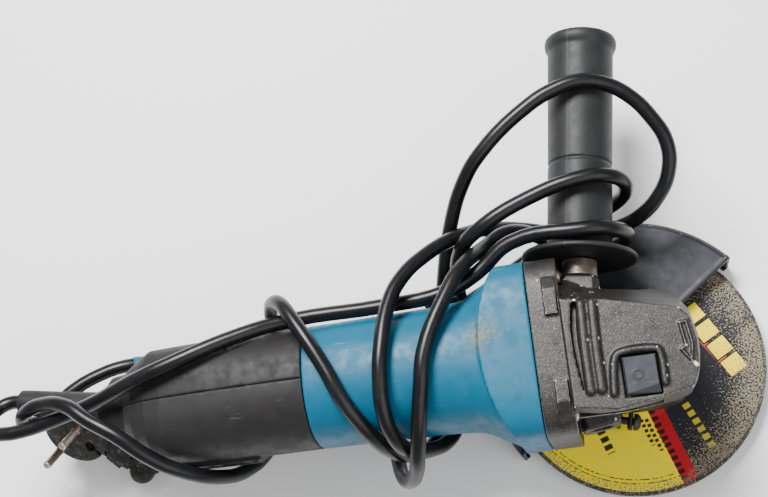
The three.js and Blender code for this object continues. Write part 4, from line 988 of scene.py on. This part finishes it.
def rear_handle(side):
    shell = join(loft([section(*s) for s in HANDLE_OUTER]), louvre_panel())
    cut(shell, loft([section(*s) for s in HANDLE_INNER]))
    for x, z in HANDLE_BOSSES:
        boss = keep(turned(rod(-23, 23, 4.6), across(x, z), 40), loft([section(*s) for s in HANDLE_OUTER]))
        join(shell, boss)
    near, far = (0.02, 60) if side > 0 else (-60, -0.02)
    keep(shell, box(-300, 0, near, far, -60, 60))
    for x, z in HANDLE_BOSSES:
        if side < 0:
            cut(shell, turned(rod(-16, 16, 1.5), across(x, z), 24))
        else:
            cut(shell, turned(rod(-60, 60, 2), across(x, z), 24), turned(rod(11, 41, 3.4), across(x, z), 32))
    edge = sorted((side * 20, side * 40))
    cut(shell, *[box(-211 + 7.4 * i, -208 + 7.4 * i, *edge, -8.4, -1.6) for i in range(5)])
    cut(shell, *[turned(rod(*bore), SLEEVE) for bore in ((-30, 30, 7.4), (-9.4, -5.6, 10.4), (0, 40, 40))])
    return soften(shell, 0.5, 3)


def handle_screws():
    for i, (x, z) in enumerate(HANDLE_BOSSES, 1):
        frame = frame_of((x, 0, z), (0, 1, 0))
        name = f"handle_screw_{i}"
        piece(cross_screw(frame, -12, 11.4, 13.6, 3, 1.2), name + "_turned", SCREW, "housing", name)


# ------------------------------------------------------------------ cord guard and plug


def cord_guard():
    length = 49.7
    profile = [
        (-8.6, 4.2), (-8.6, 10), (-6.2, 10), (-6.2, 7), (0.4, 7), (0.4, 12.6), (3.4, 12.2), (5.2, 9.4),
        (9, 7.8), (26, 6.9), (length - 2, 6.1), (length, 5.9), (length, 4.2), (-8.6, 4.2),
    ]
    return turned(eased(profile, 0.5)[:-1], SLEEVE)


PLUG_CENTRE = Vector((-282.5, -1, -30))
PLUG_OUT = Vector((-0.246, -0.667, 0.703)).normalized()
PLUG_DOWN = Vector((0.633, -0.66, -0.405))
PLUG = frame_of(PLUG_CENTRE, PLUG_OUT, PLUG_DOWN)
RELIEF_CENTRE = Vector((-254.7, -21, -51))
PIN_SPACING = 19


def plug_body():
    face = turned(eased([
        (-16, 0), (-16, 7.5), (-13, 10), (-6, 13.5), (-4.4, 17.6), (-0.8, 18), (0, 17.2), (0, 0),
    ], 1.2), PLUG)
    tail_frame = PLUG @ frame_of((0, 0, -9.5), (1, 0, 0))
    tail = turned(eased([(9, 0), (9, 7.4), (33, 4.6), (33, 0)], 0.8), tail_frame)
    wing = box(20.5, 29.5, -6.5, 6.5, -10, -6, PLUG)
    teeth = [box(20.6 + 2.4 * i, 21.8 + 2.4 * i, -7.4, 7.4, -9.4, -6.6, PLUG) for i in range(4)]
    relief = turned(arc_profile(6.6), frame_of(RELIEF_CENTRE, (0, 0, 1)), 48)
    before, end = (Vector(p) for p in CORD_ROUTE[-2:])
    way = frame_of(end, end - before)
    outlet = turned(eased([(0.3, 0), (0.3, 5.6), (9.3, 5), (9.3, 0)], 0.6), way, 48)
    join(face, tail, wing, *teeth, relief, outlet)
    cut(face, turned(rod(-4.5, 4.5, 2.9), PLUG @ frame_of((10.4, 0, 0), (0, 0, 1)), 40),
        box(10.5, 19.5, -1.3, 1.3, -4.5, 4.5, PLUG))
    cut(face, *[turned(rod(-4, 4, 2.6), pin_frame(end), 32) for end in (-1, 1)])
    return soften(face, 0.4, 3)


def arc_profile(radius, steps=12):
    angles = [math.pi * i / steps - math.pi / 2 for i in range(steps + 1)]
    middle = [(radius * math.sin(a), radius * math.cos(a)) for a in angles[1:-1]]
    return [(-radius, 0), *middle, (radius, 0)]


def pin_frame(end):
    return PLUG @ frame_of((0, -end * PIN_SPACING / 2, 0), (0, 0, 1))


def plug_pin(end):
    profile = [(-3.6, 0), (-3.6, 2.3), (6, 2.3), (6.2, 2.05), (18, 2.05), (19, 1.4), (19, 0)]
    return turned(eased(profile, 0.3), pin_frame(end), 40)


TAPE_FROM, TAPE_TO = (-245.2, 28.6, -21.8), (-239.4, 28.8, -24.4)


def tape_band():
    """A turn of blue tape around the strand that runs beside the rear handle."""
    start, end = Vector(TAPE_FROM), Vector(TAPE_TO)
    length = (end - start).length
    inner, outer = CORD_DIAMETER / 2 - 0.4, CORD_DIAMETER / 2 + 0.45
    band = turned(tube(0, length, inner, outer), frame_of(start, end - start), 48)
    return soften(band, 0.2, 2)


# ------------------------------------------------------------------ side handle


def side_grip():
    grip = turned(eased([
        (41.6, 0), (41.6, 25), (42.2, 26.3), (43.6, 26.3), (44.4, 25), (45.4, 16.4), (48, 14.8),
        (86, 14.9), (86.3, 14.3), (87.5, 14.3), (87.8, 14.9), (144, 15.5), (146.2, 16.8), (148.4, 17.2),
        (150.6, 16.6), (151.8, 13), (151.8, 0),
    ], 0.9), HANDLE, 160)
    return cut(grip, turned(rod(30, 74, 4.3), HANDLE))


def side_stud():
    profile = [
        (22, 0), (22, 4), (23, 4.8), (33.6, 4.8), (33.6, 8.2), (40.4, 7.8), (41.2, 7.8), (41.2, 4),
        (73, 4), (73, 0),
    ]
    return turned(eased(profile, 0.4), HANDLE)


# ------------------------------------------------------------------ finishes


def abrasive_wheel():
    """The wheel's own finish, with a plain two-colour label on its upper face."""
    s = Surface("abrasive_label", (0.04, 0.038, 0.035), 0.8, shine=0.2)
    centre = at(0, 0, 0)
    local = s.offset_from(centre)
    along, over = s.dot(local, (0.302, -0.953, 0)), s.dot(local, (0.953, 0.302, 0))
    reach = s.length(local)
    face = s.math("MULTIPLY", s.upward(0.6, 0.9), s.below(reach, 60.5, 61))
    s.tint(face, (0.02, 0.021, 0.026))
    yellow = s.math("MULTIPLY", face, s.below(over, -3.5, -3.3))
    s.tint(yellow, (1.0, 0.8, 0.0))
    band = s.math("MULTIPLY", s.below(over, 4, 4.2), s.above(over, -3.5, -3.3))
    s.tint(s.math("MULTIPLY", face, band), (0.45, 0.012, 0.02))
    dark_side = s.math("MULTIPLY", face, s.above(over, 4, 4.2))
    s.tint(s.math("MULTIPLY", dark_side, s.triangle(local)), (0.42, 0.07, 0.08))
    marks = s.dashes(local, (40, 6.7), (0.49, -0.872), 10.2, 8.7, 41, 4.6)
    s.tint(s.math("MULTIPLY", dark_side, marks[1]), (0.01, 0.01, 0.012))
    s.tint(s.math("MULTIPLY", dark_side, marks[0]), (0.92, 0.72, 0.0))
    small = s.dashes(local, (26.6, -33.3), (0.397, -0.918), 4.2, 3.1, 26, 1.7)
    s.tint(s.math("MULTIPLY", dark_side, small[0]), (0.6, 0.46, 0.02))
    for place, length, thick in (((2, -33), 14, 0.9), ((5, -34.5), 17, 0.9), ((8.2, -35.5), 12, 0.9)):
        lines = s.dashes(local, place, (0.302, -0.953), 2.6, 2, length, thick)
        s.tint(s.math("MULTIPLY", yellow, lines[0]), (0.03, 0.025, 0.01))
    lines = s.dashes(local, (-18.5, -33), (0.302, -0.953), 4, 3, 17, 2)
    s.tint(s.math("MULTIPLY", yellow, lines[0]), (0.03, 0.025, 0.01))
    red_words = s.dashes(local, (10, -38), (0.302, -0.953), 3.4, 2.5, 46, 1.6)
    s.tint(s.math("MULTIPLY", s.math("MULTIPLY", face, band), red_words[0]), (0.03, 0.01, 0.01))
    for radius in (55.2, 57):
        beyond = s.above(reach, radius - 0.4, radius - 0.15)
        arc = s.math("MULTIPLY", beyond, s.below(reach, radius + 0.15, radius + 0.4))
        broken = s.above(s.noise(1.1, 2), 0.42, 0.5)
        s.tint(s.math("MULTIPLY", s.math("MULTIPLY", yellow, arc), broken), (0.05, 0.04, 0.01))
    # Grit shows through the label, more toward the rim and on the dark side.
    grain = s.noise(0.85, 3, 0.6)
    patch = s.noise(9, 4, 0.6)
    more = s.math("MULTIPLY", s.above(reach, 28, 62), 0.22)
    level = s.math("ADD", s.math("ADD", grain, more), s.math("MULTIPLY", patch, 0.24))
    s.tint(s.math("MULTIPLY", dark_side, s.above(level, 0.8, 0.83)), (0.24, 0.205, 0.14))
    ragged = s.math("ADD", reach, s.math("MULTIPLY", patch, 9))
    rim_band = s.math("MULTIPLY", face, s.above(ragged, 60.5, 63.5))
    s.tint(s.math("MULTIPLY", rim_band, s.above(grain, 0.5, 0.56)), (0.22, 0.19, 0.13))
    s.tint(s.math("MULTIPLY", yellow, s.above(s.noise(0.6, 3, 0.7), 0.62, 0.66)), (0.14, 0.11, 0.015))
    bare = s.math("SUBTRACT", 1, face)
    s.tint(s.math("MULTIPLY", bare, s.above(s.noise(0.7, 2), 0.52, 0.6)), (0.21, 0.19, 0.15))
    s.bump(s.noise(0.8, 3), 0.22)
    s.bump(s.noise(0.35, 2), 0.06)
    return s.material


SEAM_OFFSET = 5.2


def grip_black():
    s = Surface("grip_black", (0.011, 0.0112, 0.0122), 0.5, shine=0.3)
    s.tint(s.math("MULTIPLY", s.above(s.noise(12, 4), 0.4, 0.7), 0.5), (0.02, 0.02, 0.021))
    s.tint(s.math("MULTIPLY", s.above(s.noise(1.4, 6, 0.7), 0.64, 0.72), 0.5), (0.06, 0.057, 0.052))
    s.tint(s.math("MULTIPLY", s.edges(0.53, 0.6), 0.4), (0.07, 0.066, 0.06))
    local = s.offset_from(at(HANDLE_FOOT_X, 0, HANDLE_Z))
    beside = s.dot(local, (math.cos(HANDLE_YAW), -math.sin(HANDLE_YAW), 0))
    # Painted highlight: a lighter line along the parting seam, only where it faces up.
    seam_highlight = s.below(s.math("ABSOLUTE", s.math("ADD", beside, SEAM_OFFSET)), 0.1, 0.35)
    s.tint(s.math("MULTIPLY", s.math("MULTIPLY", seam_highlight, s.upward(0.2, 0.4)), 0.8), (0.04, 0.04, 0.038))
    s.gloss(s.above(s.noise(4, 4), 0.4, 0.65), 0.56)
    s.bump(s.noise(0.5, 3), 0.03)
    return s.material


def guard_steel():
    s = Surface("guard_steel", (0.011, 0.0122, 0.0165), 0.42, metallic=0.4)
    s.tint(s.math("MULTIPLY", s.above(s.noise(16, 3), 0.35, 0.7), 0.7), (0.018, 0.02, 0.026))
    scratch = s.above(s.noise(1.6, 4, 0.6, stretch=(1.4, 0.1, 1)), 0.66, 0.72)
    s.tint(s.math("MULTIPLY", scratch, 0.18), (0.1, 0.1, 0.11))
    s.tint(s.math("MULTIPLY", s.above(s.noise(2.2, 5, 0.7), 0.63, 0.7), 0.5), (0.1, 0.075, 0.05))
    s.tint(s.math("MULTIPLY", s.edges(0.55, 0.62), 0.6), (0.22, 0.21, 0.2))
    s.gloss(s.above(s.noise(5, 4), 0.4, 0.65), 0.52)
    s.bump(s.noise(0.6, 3), 0.02)
    s.bump(s.noise(20, 2), 0.3)
    return s.material


def wound_copper():
    s = Surface("wound_copper", (0.36, 0.13, 0.05), 0.4, metallic=0.8)
    s.tint(s.above(s.noise(0.9, 2, stretch=(1, 0.2, 0.2)), 0.5, 0.62), (0.16, 0.05, 0.02))
    s.bump(s.noise(0.7, 2, stretch=(1, 0.15, 0.15)), 0.2)
    return s.material


def laminated():
    s = turned_metal("laminated", (0.24, 0.235, 0.23), 0.45)
    s.tint(s.above(s.noise(0.6, 1, stretch=(1, 0.02, 0.02)), 0.5, 0.56), (0.08, 0.075, 0.07))
    return s.material


BLUE = housing_blue()
CAST = cast("cast_head", (0.027, 0.0258, 0.025)).material
CHARCOAL = moulded(
    "charcoal", (0.013, 0.0122, 0.0122), 0.5,
    dirt=(0.028, 0.026, 0.024), dirt_amount=0.3, scuffs=(0.11, 0.105, 0.1),
).material
TAPE = moulded("blue_tape", (0.0, 0.09, 0.165), 0.5, dirt_amount=0.3).material
KNOB = moulded("knob", (0.028, 0.028, 0.03), 0.6, dirt_amount=0.4).material
BUTTON = moulded("button", (0.028, 0.031, 0.038), 0.5, dirt=(0.03, 0.03, 0.03), dirt_amount=0.3).material
INNER = moulded("inner_plastic", (0.03, 0.03, 0.032), 0.6).material
SLEEVE_RUBBER = moulded("sleeve_rubber", (0.012, 0.012, 0.013), 0.5, dirt_amount=0.25).material
STEEL = turned_metal("bare_steel", (0.46, 0.45, 0.43), 0.34).material
STUD = turned_metal("stained_steel", (0.2, 0.17, 0.145), 0.42, stain_amount=0.7).material
GEAR = turned_metal("gear_steel", (0.13, 0.13, 0.13), 0.4, stain=(0.03, 0.022, 0.015)).material
SCREW = turned_metal("screw_steel", (0.42, 0.34, 0.24), 0.34, stain_amount=0.5).material
CLAMP = turned_metal("clamp_steel", (0.07, 0.065, 0.06), 0.45, stain=(0.03, 0.02, 0.015)).material
PIN = turned_metal(
    "pin_metal", (0.42, 0.35, 0.29), 0.32, stain=(0.14, 0.09, 0.06), stain_amount=0.6,
).material
BRASS = turned_metal("brass", (0.55, 0.4, 0.14), 0.34).material
CARBON = moulded("carbon", (0.018, 0.018, 0.018), 0.7).material
GUARD = guard_steel()
GRIP = grip_black()
COPPER = wound_copper()
LAMINATED = laminated()
RUBBER = plug_rubber()

KEPT_NODES = {
    STEEL: ["spindle_bearing", "spindle_top_bearing", "lock_pin", "lock_spring", "armature_shaft",
            "front_bearing", "rear_bearing", "slide_rod"],
    GEAR: ["crown_gear", "pinion"],
    LAMINATED: ["armature_core", "stator"],
    COPPER: ["armature_winding_front", "armature_winding_rear", "commutator",
             "field_coil_upper_front", "field_coil_lower_front"],
    BRASS: ["brush_holder_left", "brush_holder_right"],
    CARBON: ["brush_left", "brush_right"],
    INNER: ["cooling_fan", "baffle_ring", "switch_body", "cord_clamp"],
}


def paint_kept_nodes():
    for material, names in KEPT_NODES.items():
        for name in names:
            data = frame["nodes"][name].data
            data.materials.clear()
            data.materials.append(material)


# ------------------------------------------------------------------ the whole


def build():
    piece(motor_housing(), "motor_shell", BLUE, "housing", "motor_housing")
    piece(gear_housing(), "gear_head", CAST, "housing", "gear_housing")
    piece(bearing_box(), "bearing_cover", CAST, "housing", "bearing_box")
    head_screws()
    piece(spindle(), "threaded_spindle", STEEL, "wheel_set", "spindle")
    piece(inner_flange(), "wheel_seat", STEEL, "wheel_set", "inner_flange")
    piece(lock_nut(), "wheel_nut", STEEL, "wheel_set", "lock_nut")
    piece(grinding_wheel(), "abrasive_disc", abrasive_wheel(), "wheel_set", "grinding_wheel")
    piece(wheel_guard(), "guard_shell", GUARD, "guard", "wheel_guard")
    piece(clamp_screw(), "guard_screw", CLAMP, "guard", "guard_clamp_screw")
    piece(clamp_nut(), "guard_nut", CLAMP, "guard", "guard_clamp_nut")
    piece(lock_button(), "spindle_button", BUTTON, "spindle_lock", "lock_button")
    piece(slide_knob(), "switch_knob", KNOB, "switch_slide", "slide_knob")
    for side, name in ((1, "left"), (-1, "right")):
        piece(rear_handle(side), f"rear_shell_{name}", CHARCOAL, "housing", f"rear_handle_{name}")
    handle_screws()
    piece(cord_guard(), "cord_sleeve", SLEEVE_RUBBER, "housing", "cord_guard")
    piece(tape_band(), "tape_band", TAPE, "housing")
    piece(side_grip(), "grip_moulding", GRIP, "side_handle", "side_grip")
    piece(side_stud(), "grip_stud", STUD, "side_handle", "side_handle_stud")
    plug = piece(plug_body(), "plug_moulding", RUBBER, "housing", "plug_body")
    pins = [
        piece(plug_pin(end), f"plug_pin_{side}_turned", PIN, "housing", f"plug_pin_{side}")
        for end, side in ((-1, "left"), (1, "right"))
    ]
    return [plug, *pins]


paint_kept_nodes()
plug_pieces = build()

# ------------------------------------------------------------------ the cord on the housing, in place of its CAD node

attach(power_cord, "housing")
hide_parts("power_cord")

# ------------------------------------------------------------------ floor and light


def plain(name, color, roughness):
    return Surface(name, color, roughness).material


def floor():
    half = 6
    data = bpy.data.meshes.new("floor")
    corners = [(-half, -half, 0), (half, -half, 0), (half, half, 0), (-half, half, 0)]
    data.from_pydata(corners, [], [(0, 1, 2, 3)])
    made = bpy.data.objects.new("floor", data)
    bpy.context.scene.collection.objects.link(made)
    data.materials.append(plain("floor", (0.9, 0.9, 0.9), 0.8))
    return made


def area_light(name, place, target, size, power, color=(1, 1, 1)):
    data = bpy.data.lights.new(name, "AREA")
    data.shape = "DISK"
    data.size = size
    data.energy = power
    data.color = color
    made = bpy.data.objects.new(name, data)
    bpy.context.scene.collection.objects.link(made)
    made.location = place
    made.rotation_euler = (Vector(target) - Vector(place)).to_track_quat("-Z", "Y").to_euler()
    return made


def world_light(strength):
    world = bpy.data.worlds.new("world")
    world.use_nodes = True
    world.node_tree.nodes["Background"].inputs["Color"].default_value = (1, 1, 1, 1)
    world.node_tree.nodes["Background"].inputs["Strength"].default_value = strength
    bpy.context.scene.world = world


middle = at(-60, 0, 0)
floor()
area_light("key", at(-250, 500, 900), middle, 0.5, 30)
area_light("fill", at(500, -500, 800), middle, 1.2, 8)
world_light(0.42)
